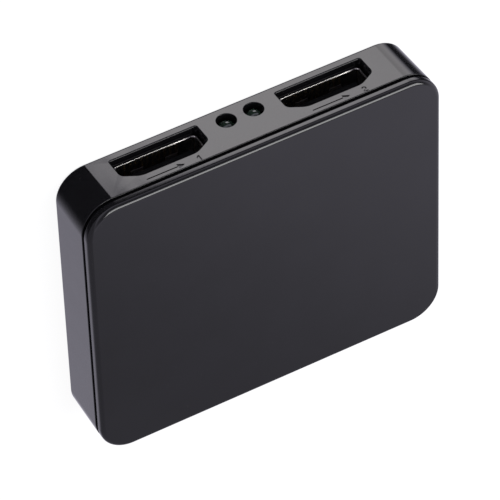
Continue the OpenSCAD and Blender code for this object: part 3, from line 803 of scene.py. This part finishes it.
# %% Add the four bosses
BOSS_D = 4.4 * MM
BORE_D = 2.06 * MM
BOSS_INSET = 3.2 * MM
BORE_DEPTH = 3.5 * MM
BOSS_EDGE = 0.15 * MM
ROOT = 0.3 * MM
board_low, board_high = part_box("circuit_board")


def turned(profile, middle):
    """A solid turned about an upright axis, from a profile of radii and heights."""
    x, y = middle
    return loft([[(x + a, y + b, z) for a, b in circle(radius)] for radius, z in profile])


def boss_places():
    x, y = HALF_X - WALL - BOSS_INSET, HALF_Y - WALL - BOSS_INSET
    return [(i * x, j * y) for i in (-1, 1) for j in (-1, 1)]


def bosses():
    top, radius, bore = board_low.z, BOSS_D / 2, BORE_D / 2
    profile = [(radius, FLOOR_Z - ROOT), (radius, top - BOSS_EDGE), (radius - BOSS_EDGE, top),
               (bore + BOSS_EDGE, top), (bore, top - BOSS_EDGE), (bore, top - BORE_DEPTH)]
    return [turned(profile, place) for place in boss_places()]


tray = cut(tray, bosses(), "UNION")
finished_piece("case_shell", tray, [SHELL_BLACK], "case", "case_black", "main_shell")

# %% [markdown]
# The lid
#
# The lid is the large plain face of the photograph. It is a plate with a short upright rim and a rounded
# edge, and below it a skirt and four pins press into the shell. A bevelled box would do for the plate, but
# the loft that made the shell makes it too, with its own profile, so that the corners of both run in line.

# %% Loft the lid
COVER_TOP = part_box("cover")[1].z
COVER_EDGE_R = 0.75 * MM
EDGE_STEPS = 14
SKIRT_H = 1.0 * MM
SKIRT_T = 0.8 * MM
SKIRT_GAP = 0.15 * MM
PIN_D = 2.0 * MM
PIN_LEAD = 0.3 * MM
PIN_REACH = 3.0 * MM
SHOULDER_D = 3.6 * MM


def lid_plate():
    foot = arc_points(LIP_R, COVER_Z + LIP_R, LIP_R, 270, 180, LIP_STEPS)
    edge = arc_points(COVER_EDGE_R, COVER_TOP - COVER_EDGE_R, COVER_EDGE_R, 180, 90, EDGE_STEPS)
    return loft(case_rings(foot + edge))


def lid_skirt():
    outer, inner = WALL + SKIRT_GAP, WALL + SKIRT_GAP + SKIRT_T
    low, high = COVER_Z - SKIRT_H, COVER_Z + ROOT
    profile = [(outer, high), (outer, low + LIP_R), (outer + LIP_R, low),
               (inner - LIP_R, low), (inner, low + LIP_R), (inner, high)]
    return loft(case_rings(profile), closed=True)


def lid_pins():
    radius, tip, shoulder = PIN_D / 2, board_low.z - PIN_REACH, board_high.z
    profile = [(radius - PIN_LEAD, tip), (radius, tip + PIN_LEAD), (radius, shoulder),
               (SHOULDER_D / 2, shoulder), (SHOULDER_D / 2, COVER_Z + ROOT)]
    return [turned(profile, place) for place in boss_places()]


lid = cut(lid_plate(), [lid_skirt()] + lid_pins(), "UNION")
finished_piece("case_lid", lid, [GLOSS_BLACK], "lid", "case_black", "cover")

# %% [markdown]
# The sockets
#
# A video socket is a folded sheet-metal shell round a black moulding, whose tongue carries 19 gold contacts,
# and the power socket is a smaller one of the same make. They could be modelled anew, but these shapes are
# already exact in the construction model, so each piece is a copy of it: the loose triangles are welded,
# flat faces made whole, and the edges broken by a small bevel that catches the light.

# %% Softened copies
FLAT_ANGLE = math.radians(0.5)
EDGE_ANGLE = math.radians(28)
BEVEL_STEPS = 2
SHORTEST_EDGE = 3


def welded_copy(node):
    shape = bmesh.new()
    shape.from_mesh(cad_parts[node].data)
    bmesh.ops.remove_doubles(shape, verts=shape.verts, dist=WELD)
    bmesh.ops.dissolve_limit(shape, angle_limit=FLAT_ANGLE, verts=shape.verts, edges=shape.edges)
    return shape


def soften(shape, width):
    """Breaks the edges of a shape by a width in millimetres, apart from very short ones."""
    edges = []
    for edge in shape.edges:
        sharp = len(edge.link_faces) == 2 and edge.calc_face_angle() > EDGE_ANGLE
        if sharp and edge.calc_length() > SHORTEST_EDGE * width * MM:
            edges.append(edge)
    bevel(shape, edges, width * MM, BEVEL_STEPS, True)
    bmesh.ops.remove_doubles(shape, verts=shape.verts, dist=WELD)
    return shape


def softened_piece(name, node, width, material, body, slot):
    return finished_piece(name, soften(welded_copy(node), width), [material], body, slot, node)


# %% Metal shields with a lead-in round the mouth
SHEET_EDGE = 0.05
LEAD_IN = 0.10
LEAD_DEPTH = 0.125 * MM
LEAD_PROUD = LEAD_DEPTH / 2


def lead_in_cutter(mouth, node, way):
    """A tapered plug that breaks the inner edge of a mouth, so that its rim catches the light."""
    low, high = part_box(node)
    rim = high.y if way > 0 else low.y
    x, z = (low.x + high.x) / 2, low.z + SHEET * MM
    rings = []
    for depth in (-LEAD_PROUD, LEAD_DEPTH):
        outline = mouth_outline(mouth, LEAD_IN - LEAD_IN / LEAD_DEPTH * depth)
        rings.append([(x + way * p[0] * MM, rim - way * depth, z + p[1] * MM) for p in outline])
    return loft(rings)


def shield_piece(name, node, mouth, way):
    shape = cut(soften(welded_copy(node), SHEET_EDGE), [lead_in_cutter(mouth, node, way)])
    return finished_piece(name, shape, [PLATED], "case", "socket_metal", node)


for port, way in SOCKET_NODES.items():
    shield_piece(port + "_shield", port + "_shell", MOUTH, way)
shield_piece("power_shield", "power_shell", POWER_MOUTH, -1)

# %% Mouldings, contacts and springs
MOULDED_EDGE = 0.05
FINE_MOULDED_EDGE = 0.03
CONTACT_EDGE = 0.02
SPRING_EDGE = 0.04

for port in SOCKET_NODES:
    softened_piece(port + "_tongue", port + "_insulator", MOULDED_EDGE, MOULDING, "case", "socket_moulding")
    softened_piece(port + "_contact_strips", port + "_contacts", CONTACT_EDGE, GOLD, "case", "contact_gold")
    softened_piece(port + "_leaf_springs", port + "_springs", SPRING_EDGE, SPRING_STEEL_PAINTED_SHADE,
                   port + "_spring_pair", "socket_metal")
softened_piece("power_tongue", "power_insulator", FINE_MOULDED_EDGE, MOULDING, "case", "socket_moulding")
softened_piece("power_contact_strips", "power_contacts", CONTACT_EDGE, GOLD, "case", "contact_gold")

# %% [markdown]
# The lamps
#
# Each lamp is a 3 mm cast resin lens with a flange at its back. A sphere and a cylinder could be joined,
# but a single profile turned about the lamp's axis keeps the highlight on its dome unbroken.

# %% Turn the lamp lenses
DOME_STEPS = 16
DOME_STOP = 88
FLANGE_T = 0.9 * MM
FLANGE_EDGE = 0.1 * MM


def lamp_lens(node):
    low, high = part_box(node)
    x, z = (low.x + high.x) / 2, (low.z + high.z) / 2
    flange, face = (high.x - low.x) / 2, low.y + FLANGE_T
    dome = flange - LAMP_FLANGE
    profile = [(flange - FLANGE_EDGE, low.y), (flange, low.y + FLANGE_EDGE), (flange, face - FLANGE_EDGE),
               (flange - FLANGE_EDGE, face), (dome, face)]
    profile += arc_points(0, high.y - dome, dome, 0, DOME_STOP, DOME_STEPS)
    return loft([[(x + a, y, z + b) for a, b in circle(radius)] for radius, y in profile])


for node in LAMP_NODES:
    finished_piece(node + "_lens", lamp_lens(node), [LAMP_RESIN], "case", "lamp", node)

# %% [markdown]
# The circuit board
#
# The board is glass cloth in resin under a green mask, so its faces show a fine weave and its cut edges are
# tan. Copper tracks make low ridges under the mask, and the outlines of the parts are printed in white.
# These could be drawn in the shader, but ridges catch the light when the lid is off, so they are modelled.
# Everything that repeats on the board is grown by Geometry Nodes from a few points or lines.

# %% Finishes of the board and its parts
BOARD_MASK = finish("green_mask", (0.008, 0.075, 0.030), (0.011, 0.092, 0.037), (0.24, 0.36), mottle=300.0,
                    bump=0.4, weave=0.6, dust=0.1)
BOARD_EDGE = finish("board_edge", (0.32, 0.27, 0.13), (0.24, 0.20, 0.09), (0.6, 0.8), mottle=900.0, bump=0.4)
TRACK = finish("covered_copper", (0.030, 0.190, 0.072), (0.036, 0.210, 0.082), (0.24, 0.36), mottle=400.0)
PRINT = finish("white_print", (0.72, 0.72, 0.70), (0.64, 0.64, 0.62), (0.5, 0.65), mottle=2000.0, bump=0.1)
TINNED = finish("tinned_lead", (0.70, 0.70, 0.71), (0.60, 0.60, 0.61), (0.22, 0.36), metallic=1.0,
                mottle=900.0, bump=0.06, dust=0.0)
SOLDER = finish("solder", (0.66, 0.66, 0.68), (0.54, 0.54, 0.56), (0.14, 0.28), metallic=1.0, mottle=1200.0,
                bump=0.08, dust=0.0)
CHIP = finish("chip_moulding", (0.020, 0.020, 0.022), (0.028, 0.028, 0.030), (0.50, 0.68), grain=12000.0,
              bump=0.25, dust=0.1)
CAN = finish("crystal_can", (0.70, 0.67, 0.60), (0.62, 0.59, 0.53), (0.20, 0.32), metallic=1.0, grain=9000.0,
             mottle=700.0, bump=0.06, dust=0.0)
FERRITE = finish("ferrite", (0.075, 0.075, 0.080), (0.098, 0.098, 0.103), (0.50, 0.70), grain=8000.0,
                 bump=0.35)
CERAMIC = finish("tan_ceramic", (0.37, 0.25, 0.135), (0.30, 0.20, 0.105), (0.38, 0.55), mottle=1500.0,
                 bump=0.15)
GLAZE = finish("resistor_glaze", (0.012, 0.012, 0.013), (0.018, 0.018, 0.020), (0.20, 0.32), mottle=1500.0)
print("Finishes in all:", len(bpy.data.materials))

# %% The board itself
SAWN_EDGE = 0.04
LYING = 0.7


def board_plate():
    shape = soften(welded_copy("circuit_board"), SAWN_EDGE)
    for face in shape.faces:
        face.material_index = 0 if abs(face.normal.z) > LYING else 1
    return finished_piece("board_plate", shape, [BOARD_MASK, BOARD_EDGE], "case", "board", "circuit_board")


board_plate()

# %% [markdown]
# Growing what repeats
#
# Four node trees do the repeated work. One sweeps a flat section along lines, for tracks and print. One
# stands a part on points, each turned by its own angle. One does the same for the body and the ends of a
# chip resistor or capacitor, and one sets rows of leads round a chip. Copies placed by a Python loop would
# look the same, but a tree can be opened, understood and changed in one place.


# %% Helpers for node trees
def geometry_tree(name, inputs):
    """A tree with named inputs; its input sockets and its result come back with it."""
    tree = bpy.data.node_groups.new(name, "GeometryNodeTree")
    for label, kind in {"Geometry": "Geometry", **inputs}.items():
        tree.interface.new_socket(label, in_out="INPUT", socket_type="NodeSocket" + kind)
    tree.interface.new_socket("Geometry", in_out="OUTPUT", socket_type="NodeSocketGeometry")
    return tree, new_node(tree, "NodeGroupInput").outputs, new_node(tree, "NodeGroupOutput").inputs[0]


def chain(tree, geometry, *nodes):
    for node in nodes:
        tree.links.new(geometry, node.inputs[0])
        geometry = node.outputs[0]
    return geometry


def dressed(tree, geometry, material):
    """The end of every tree: real geometry with one finish."""
    coat = new_node(tree, "GeometryNodeSetMaterial", {"Material": material})
    return chain(tree, geometry, new_node(tree, "GeometryNodeRealizeInstances"), coat)


def turn_node(tree, angle):
    around = new_node(tree, "ShaderNodeCombineXYZ", {"Z": angle})
    return new_node(tree, "FunctionNodeEulerToRotation", {0: around.outputs[0]}).outputs[0]


def point_turn(tree):
    """The turn that each point carries with it."""
    angle = new_node(tree, "GeometryNodeInputNamedAttribute", {"Name": "turn"}, data_type="FLOAT")
    return turn_node(tree, angle.outputs[0])


def instances(tree, points, part, **more):
    inputs = {"Points": points, "Instance": part, **more}
    return new_node(tree, "GeometryNodeInstanceOnPoints", inputs).outputs[0]


def object_geometry(tree, part):
    return new_node(tree, "GeometryNodeObjectInfo", {"Object": part}).outputs["Geometry"]


# %% A tree that sweeps lines
def ribbon_tree():
    inputs = {"Width": "Float", "Height": "Float", "Finish": "Material"}
    tree, source, result = geometry_tree("flat_ribbons", inputs)
    sizes = {name: source[name] for name in ("Width", "Height")}
    section = new_node(tree, "GeometryNodeCurvePrimitiveQuadrilateral", sizes).outputs[0]
    steps = [
        new_node(tree, "GeometryNodeMeshToCurve"),
        new_node(tree, "GeometryNodeSetCurveNormal", mode="Z_UP"),
        new_node(tree, "GeometryNodeCurveToMesh", {"Profile Curve": section, "Fill Caps": True}),
    ]
    swept = chain(tree, source["Geometry"], *steps)
    tree.links.new(dressed(tree, swept, source["Finish"]), result)
    return tree


RIBBONS = ribbon_tree()
print("Tree", RIBBONS.name, "with", len(RIBBONS.nodes), "nodes")


# %% A tree that stands parts on points
def standing_tree():
    inputs = {"Part": "Object", "Finish": "Material", "Size Spread": "Float", "Seed": "Int"}
    tree, source, result = geometry_tree("parts_on_points", inputs)
    least = math_node(tree, "SUBTRACT", 1.0, source["Size Spread"])
    most = math_node(tree, "ADD", 1.0, source["Size Spread"])
    spread = {2: least, 3: most, "Seed": source["Seed"]}
    size = new_node(tree, "FunctionNodeRandomValue", spread, data_type="FLOAT").outputs[1]
    part = object_geometry(tree, source["Part"])
    stood = instances(tree, source["Geometry"], part, Rotation=point_turn(tree), Scale=size)
    tree.links.new(dressed(tree, stood, source["Finish"]), result)
    return tree


STANDING = standing_tree()
print("Tree", STANDING.name, "with", len(STANDING.nodes), "nodes")


# %% A tree for parts with two ends
def two_ended_tree():
    inputs = {"Body": "Object", "Ends": "Object", "Body Finish": "Material", "End Finish": "Material"}
    tree, source, result = geometry_tree("two_ended_parts", inputs)
    turn = point_turn(tree)
    both = new_node(tree, "GeometryNodeJoinGeometry")
    for half, coat in (("Body", "Body Finish"), ("Ends", "End Finish")):
        part = object_geometry(tree, source[half])
        stood = instances(tree, source["Geometry"], part, Rotation=turn)
        tree.links.new(dressed(tree, stood, source[coat]), both.inputs[0])
    tree.links.new(both.outputs[0], result)
    return tree


TWO_ENDED = two_ended_tree()
print("Tree", TWO_ENDED.name, "with", len(TWO_ENDED.nodes), "nodes")


# %% A tree for rows of leads
def lead_tree():
    inputs = {"Lead": "Object", "Count": "Int", "Pitch": "Float", "Reach": "Float", "Sides": "Int",
              "Place": "Vector", "Finish": "Material"}
    tree, source, result = geometry_tree("lead_rows", inputs)
    pitch, count, sides = source["Pitch"], source["Count"], source["Sides"]
    half = math_node(tree, "MULTIPLY", math_node(tree, "SUBTRACT", count, 1.0), -0.5)
    first = {"X": math_node(tree, "MULTIPLY", half, pitch), "Y": source["Reach"]}
    start = new_node(tree, "ShaderNodeCombineXYZ", first).outputs[0]
    step = new_node(tree, "ShaderNodeCombineXYZ", {"X": pitch}).outputs[0]
    row = new_node(tree, "GeometryNodeMeshLine", {"Count": count, "Start Location": start, "Offset": step})
    side = instances(tree, row.outputs[0], object_geometry(tree, source["Lead"]))
    middle = new_node(tree, "GeometryNodeMeshLine", {"Count": sides, "Offset": (0, 0, 0)})
    index = new_node(tree, "GeometryNodeInputIndex").outputs[0]
    angle = math_node(tree, "DIVIDE", math_node(tree, "MULTIPLY", index, 2 * math.pi), sides)
    rows = instances(tree, middle.outputs[0], side, Rotation=turn_node(tree, angle))
    moved = new_node(tree, "GeometryNodeTransform", {0: rows, "Translation": source["Place"]})
    tree.links.new(dressed(tree, moved.outputs[0], source["Finish"]), result)
    return tree


LEADS = lead_tree()
print("Tree", LEADS.name, "with", len(LEADS.nodes), "nodes")


# %% Pieces grown by a tree
def grown_piece(name, tree, mesh, values, slot, *nodes):
    """Runs a tree on a mesh, makes a plain piece of the result, and drops the parts that it copied."""
    host = linked("host", mesh)
    step = host.modifiers.new("grow", "NODES")
    step.node_group = tree
    for item in tree.interface.items_tree:
        if item.in_out == "INPUT" and item.name in values:
            step[item.identifier] = values[item.name]
    made = evaluated_mesh(host)
    host.modifiers.remove(step)
    used = [value for value in values.values() if isinstance(value, bpy.types.Object)]
    for piece in [host] + used:
        drop(piece)
    shape = bmesh.new()
    shape.from_mesh(made)
    finishes = list(made.materials)
    bpy.data.meshes.remove(made)
    return finished_piece(name, shape, finishes, "case", slot, *nodes)


# %% [markdown]
# Tracks and print
#
# A track runs from a through-hole behind a socket to a lead of the splitter chip: straight in, along at its
# own level, and straight to the lead. Drawn by hand, two of them would soon cross. Here the outermost track
# takes the lowest level, so none ever do.

# %% Lines for the tracks
BOARD_TOP = board_high.z
LANES = 8
LANE_PITCH = 1.0
LANE_START = 2.4
LANE_SIDES = {"out1": 1, "out2": -1, "in": 1}
LANE_LEVELS = {"out1": (0.6, 0.3), "out2": (1.85, 0.2), "in": (0.6, 0.3)}
CHIP_PITCH = 0.5
CHIP_SIDE_LEADS = 16
CORNER_CUT = 0.2


def in_mm(node):
    low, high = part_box(node)
    return low / MM, high / MM


def lane(start, level, end):
    across = math.copysign(CORNER_CUT, end[0] - start[0])
    inward = math.copysign(CORNER_CUT, level - start[1])
    return [start, (start[0], level - inward), (start[0] + across, level), (end[0] - across, level),
            (end[0], level + inward), end]


def lanes():
    chip_low, chip_high = in_mm("splitter_leads")
    chip_x = (chip_low.x + chip_high.x) / 2
    paths = []
    for port, way in SOCKET_NODES.items():
        low, high = in_mm(port + "_shell")
        edge = chip_high.y if way > 0 else chip_low.y
        back = low.y if way > 0 else high.y
        first, step = LANE_LEVELS[port]
        for i in range(LANES):
            start_x = (low.x + high.x) / 2 + LANE_SIDES[port] * (i - (LANES - 1) / 2) * LANE_PITCH
            lead_x = chip_x + LANE_SIDES[port] * (i - (CHIP_SIDE_LEADS - 1) / 2) * CHIP_PITCH
            level = edge + way * (first + step * i)
            paths.append(lane((start_x, back - way * LANE_START), level, (lead_x, edge)))
    return paths


signal_lanes = lanes()
print("Lanes", len(signal_lanes))

# %% Sweep the tracks
TRACK_W = 0.24 * MM
TRACK_H = 0.05 * MM
SUPPLY_W = 0.9 * MM
SUPPLY_TURN = 2
SUPPLY_CUT = 0.5
SUPPLY_BEND = 1
SUPPLY_END = 0.5


def line_mesh(name, paths):
    points, edges = [], []
    for path in paths:
        edges += [(len(points) + i, len(points) + i + 1) for i in range(len(path) - 1)]
        points += [(x * MM, y * MM, BOARD_TOP) for x, y in path]
    mesh = bpy.data.meshes.new(name)
    mesh.from_pydata(points, edges, [])
    return mesh


def ribbon_piece(name, paths, width, height, material):
    values = {"Width": width, "Height": height, "Finish": material}
    return grown_piece(name, RIBBONS, line_mesh(name, paths), values, "board")


def supply_lines():
    """From the power socket to the coil, and from the coil to the regulator."""
    power_low, power_high = in_mm("power_shell")
    coil_low, coil_high = in_mm("inductor")
    power_x, coil_x = (power_low.x + power_high.x) / 2, (coil_low.x + coil_high.x) / 2
    coil_y, turn_y = (coil_low.y + coil_high.y) / 2, coil_low.y - SUPPLY_TURN
    supply = in_mm("regulator_leads")[0]
    to_coil = [(power_x, power_high.y), (power_x, turn_y), (coil_x, turn_y + SUPPLY_CUT),
               (coil_x, coil_low.y)]
    onward = [(coil_high.x, coil_y), (supply.x - SUPPLY_BEND, coil_y), (supply.x, coil_y - SUPPLY_BEND),
              (supply.x, supply.y + SUPPLY_END)]
    return [to_coil, onward]


ribbon_piece("board_tracks", signal_lanes, TRACK_W, TRACK_H, TRACK)
ribbon_piece("board_supply", supply_lines(), SUPPLY_W, TRACK_H, TRACK)

# %% Printed outlines
PRINT_W = 0.14 * MM
PRINT_H = 0.05 * MM
PRINT_ROOM = 0.35
CLOSE_ROOM = 0.25
PRINT_REACH = 1.2
PRINTED_BOXES = ("inductor", "crystal", "eeprom", "regulator")


def islands(node):
    """The boxes of the separate solids of a part, in millimetres."""
    shape = welded_copy(node)
    left, boxes = set(shape.verts), []
    while left:
        front = [left.pop()]
        found = list(front)
        while front:
            vert = front.pop()
            for edge in vert.link_edges:
                other = edge.other_vert(vert)
                if other in left:
                    left.remove(other)
                    front.append(other)
                    found.append(other)
        low = Vector(min(v.co[k] for v in found) for k in range(3)) / MM
        high = Vector(max(v.co[k] for v in found) for k in range(3)) / MM
        boxes.append((low, high))
    shape.free()
    return sorted(boxes, key=lambda box: (round(box[0].x, 3), round(box[0].y, 3)))


def frame_path(low, high, room=PRINT_ROOM):
    left, right, near, far = low.x - room, high.x + room, low.y - room, high.y + room
    return [(left, near), (right, near), (right, far), (left, far), (left, near)]


def corner_paths(low, high):
    paths = []
    for (x, y), (i, j) in zip(frame_path(low, high), ((1, 1), (-1, 1), (-1, -1), (1, -1))):
        paths.append([(x + i * PRINT_REACH, y), (x, y), (x, y + j * PRINT_REACH)])
    return paths


def print_lines():
    paths = [frame_path(*in_mm(node)) for node in PRINTED_BOXES]
    for node in ("capacitors", "resistors"):
        paths += [frame_path(low, high, CLOSE_ROOM) for low, high in islands(node)]
    return paths + corner_paths(*in_mm("splitter_leads"))


ribbon_piece("board_print", print_lines(), PRINT_W, PRINT_H, PRINT)

# %% [markdown]
# Through-holes and solder
#
# Each track starts at a plated through-hole, and a row of them ties the edge of the board to ground. Where
# a leg or a wire comes through the board, solder wets it and climbs it in a hollow cone. Equal copies would
# look stamped, and no two joints are quite the same size, so the tree scales each by a little, from a fixed
# seed.

# %% Rings of the through-holes
RING_R = 0.32 * MM
RING_BORE = 0.15 * MM
RING_H = 0.03 * MM
RING_STEPS = 20
RING_SPREAD = 0.05
RING_SEED = 3
SUNK = 0.05 * MM
EDGE_INSET = 1.0
EDGE_STEP = 3.9
KEEP_OFF = 2.4


def point_mesh(name, places):
    mesh = bpy.data.meshes.new(name)
    mesh.from_pydata([(x * MM, y * MM, BOARD_TOP) for x, y, turn in places], [], [])
    angles = mesh.attributes.new("turn", "FLOAT", "POINT")
    angles.data.foreach_set("value", [turn for x, y, turn in places])
    return mesh


def soldered_piece(name, part, places, spread, seed):
    values = {"Part": part, "Finish": SOLDER, "Size Spread": spread, "Seed": seed}
    return grown_piece(name, STANDING, point_mesh(name, places), values, "tinned_lead")


def hole_ring():
    profile = ((RING_R, -SUNK), (RING_R, RING_H), (RING_BORE, RING_H), (RING_BORE, -SUNK))
    rings = [[(x, y, z) for x, y in circle(radius, RING_STEPS)] for radius, z in profile]
    return as_object("ring", loft(rings, closed=True))


def edge_places():
    right, far = board_high.x / MM - EDGE_INSET, board_high.y / MM - EDGE_INSET
    kept_free = [Vector(place) / MM for place in boss_places()]
    places = []
    for half, other, upright in ((right, far, False), (far, right, True)):
        count = int(2 * half / EDGE_STEP)
        for i in range(1, count):
            along = half * (2 * i / count - 1)
            for side in (-other, other):
                place = (side, along) if upright else (along, side)
                if all((Vector(place) - boss).length > KEEP_OFF for boss in kept_free):
                    places.append((*place, 0.0))
    return places


holes = edge_places() + [(*path[0], 0.0) for path in signal_lanes]
soldered_piece("through_holes", hole_ring(), holes, RING_SPREAD, RING_SEED)

# %% Solder joints
JOINT_PROFILE = ((1.0, -SUNK), (1.0, 0.02 * MM), (0.78, 0.08 * MM), (0.6, 0.2 * MM), (0.5, 0.36 * MM),
                 (0.4, 0.5 * MM))
LEG_JOINT = (0.55, 0.95)
WIRE_JOINT = (0.55, 0.55)
JOINT_SPREAD = 0.08
JOINT_SEED = 7
SAME_TAIL = 1.5
SHORTEST_TAIL = 0.3 * MM


def tails(node):
    """Where the legs or wires of a part stand out above the board, in millimetres."""
    groups = []
    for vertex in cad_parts[node].data.vertices:
        if vertex.co.z > BOARD_TOP + SHORTEST_TAIL:
            place = vertex.co.xy / MM
            near = [g for g in groups if (g[0] - place).length < SAME_TAIL]
            if near:
                near[0].append(place)
            else:
                groups.append([place])
    places = []
    for group in groups:
        x, y = [(min(p[k] for p in group) + max(p[k] for p in group)) / 2 for k in range(2)]
        places.append((x, y, 0.0))
    return places


def solder_joint(half_x, half_y):
    rings = []
    for size, z in JOINT_PROFILE:
        rings.append([(x * half_x * size, y * half_y * size, z) for x, y in circle(MM, RING_STEPS)])
    return as_object("joint", loft(rings))


legs = [place for port in (*SOCKET_NODES, "power") for place in tails(port + "_shell")]
soldered_piece("leg_joints", solder_joint(*LEG_JOINT), legs, JOINT_SPREAD, JOINT_SEED)
soldered_piece("wire_joints", solder_joint(*WIRE_JOINT), tails("led_wires"), JOINT_SPREAD, JOINT_SEED)

# %% [markdown]
# Resistors, capacitors and surge protectors
#
# A chip capacitor is a tan ceramic block and a chip resistor a thin black one, each with two tinned ends on
# tinned pads. Their places could be typed in, but then they might drift from the construction model, so
# they come from the boxes of its separate solids, and so do their angles.

# %% Two-ended parts
END_SHARE = 0.24
END_SKIN = 0.02
PAD_REACH = 0.18
PAD_H = 0.03
BLOCK_EDGE = 0.02
END_EDGE = 0.05
PAD_EDGE = 0.005
ARRAY_EDGE = 0.05


def soft_box(low, high, width):
    shape = bmesh.new()
    bmesh.ops.create_cube(shape, size=1.0)
    for vert in shape.verts:
        vert.co = Vector((low[k] if vert.co[k] < 0 else high[k]) for k in range(3)) * MM
    return soften(shape, width)


def merged(first, second):
    mesh = bpy.data.meshes.new("merged")
    second.to_mesh(mesh)
    second.free()
    first.from_mesh(mesh)
    bpy.data.meshes.remove(mesh)
    return first


def end_caps(inner, outer, half, height):
    """Both tinned ends of a part with their pads."""
    ends = bmesh.new()
    for side in (-1, 1):
        low, high = sorted((side * inner, side * outer))
        ends = merged(ends, soft_box((low, -half, 0), (high, half, height), END_EDGE))
        low, high = sorted((side * inner, side * (outer + PAD_REACH)))
        ends = merged(ends, soft_box((low, -half, -PAD_H), (high, half, PAD_H), PAD_EDGE))
    return as_object("ends", ends)


def two_ended(name, node, body_finish, slot):
    boxes = islands(node)
    places = []
    for low, high in boxes:
        turn = math.pi / 2 if high.y - low.y > high.x - low.x else 0.0
        places.append(((low.x + high.x) / 2, (low.y + high.y) / 2, turn))
    size = boxes[0][1] - boxes[0][0]
    length, half, height = max(size.x, size.y), min(size.x, size.y) / 2, size.z
    inner = length / 2 - END_SHARE * length
    block_low, block_high = (-inner, END_SKIN - half, END_SKIN), (inner, half - END_SKIN, height - END_SKIN)
    values = {
        "Body": as_object("body", soft_box(block_low, block_high, BLOCK_EDGE)),
        "Ends": end_caps(inner, length / 2, half, height),
        "Body Finish": body_finish,
        "End Finish": TINNED,
    }
    return grown_piece(name, TWO_ENDED, point_mesh(name, places), values, slot, node)


two_ended("capacitor_chips", "capacitors", CERAMIC, "capacitor")
two_ended("resistor_chips", "resistors", GLAZE, "chip")
softened_piece("surge_arrays", "esd_arrays", ARRAY_EDGE, CHIP, "case", "chip")

# %% [markdown]
# The chips
#
# A chip is a block of black moulding with a dimple at its first lead. Its leads are punched from tinned
# sheet and bent twice, down to the board and out along it. The construction leads have sharp bends, so one
# lead is drawn anew with round bends, and the tree repeats it along each side. The regulator has only a few
# leads, so they stay softened copies, like the bodies of all the chips.

# %% Rows of leads
LEAD_T = 0.14
LEAD_REACH = 0.9
BEND = 0.16
CREASE = 0.03
CHIP_LEAD_W = CHIP_PITCH / 2
MEMORY_PITCH = 1.27
MEMORY_LEAD_W = MEMORY_PITCH / 3
MEMORY_SIDE_LEADS = 4


def lead_object(height, width):
    knee, top = LEAD_REACH / 2, height / 2
    outline = [(0, top - LEAD_T), (knee - LEAD_T, top - LEAD_T), (knee - LEAD_T, 0), (LEAD_REACH, 0),
               (LEAD_REACH, LEAD_T), (knee, LEAD_T), (knee, top), (0, top)]
    side = rounded_outline(outline, (CREASE, CREASE, BEND, CREASE, CREASE, CREASE, BEND, CREASE))
    rings = [[(x * MM, p[0] * MM, p[1] * MM) for p in side] for x in (-width / 2, width / 2)]
    return as_object("lead", loft(rings))


def chip_leads(name, node, body_node, count, pitch, width, sides):
    low, high = in_mm(body_node)
    values = {
        "Lead": lead_object(high.z - BOARD_TOP / MM, width),
        "Count": count,
        "Pitch": pitch * MM,
        "Reach": (high.y - low.y) / 2 * MM,
        "Sides": sides,
        "Place": ((low.x + high.x) / 2 * MM, (low.y + high.y) / 2 * MM, BOARD_TOP),
        "Finish": TINNED,
    }
    return grown_piece(name, LEADS, bpy.data.meshes.new(name), values, "tinned_lead", node)


chip_leads("splitter_pins", "splitter_leads", "splitter_chip", CHIP_SIDE_LEADS, CHIP_PITCH, CHIP_LEAD_W,
           sides=4)
chip_leads("memory_pins", "eeprom_leads", "eeprom", MEMORY_SIDE_LEADS, MEMORY_PITCH, MEMORY_LEAD_W,
           sides=2)

# %% Chips, crystal, coil and lamp wires
PIN_EDGE = 0.03
CHIP_EDGE = 0.08
SMALL_CHIP_EDGE = 0.06
CAN_EDGE = 0.1
CORE_EDGE = 0.1
WIRE_EDGE = 0.06

softened_piece("regulator_pins", "regulator_leads", PIN_EDGE, TINNED, "case", "tinned_lead")
softened_piece("splitter_body", "splitter_chip", CHIP_EDGE, CHIP, "case", "chip")
softened_piece("memory_body", "eeprom", CHIP_EDGE, CHIP, "case", "chip")
softened_piece("regulator_body", "regulator", SMALL_CHIP_EDGE, CHIP, "case", "chip")
softened_piece("crystal_body", "crystal", CAN_EDGE, CAN, "case", "socket_metal")
softened_piece("coil_core", "inductor", CORE_EDGE, FERRITE, "case", "ferrite")
softened_piece("lamp_wires", "led_wires", WIRE_EDGE, TINNED, "case", "tinned_lead")
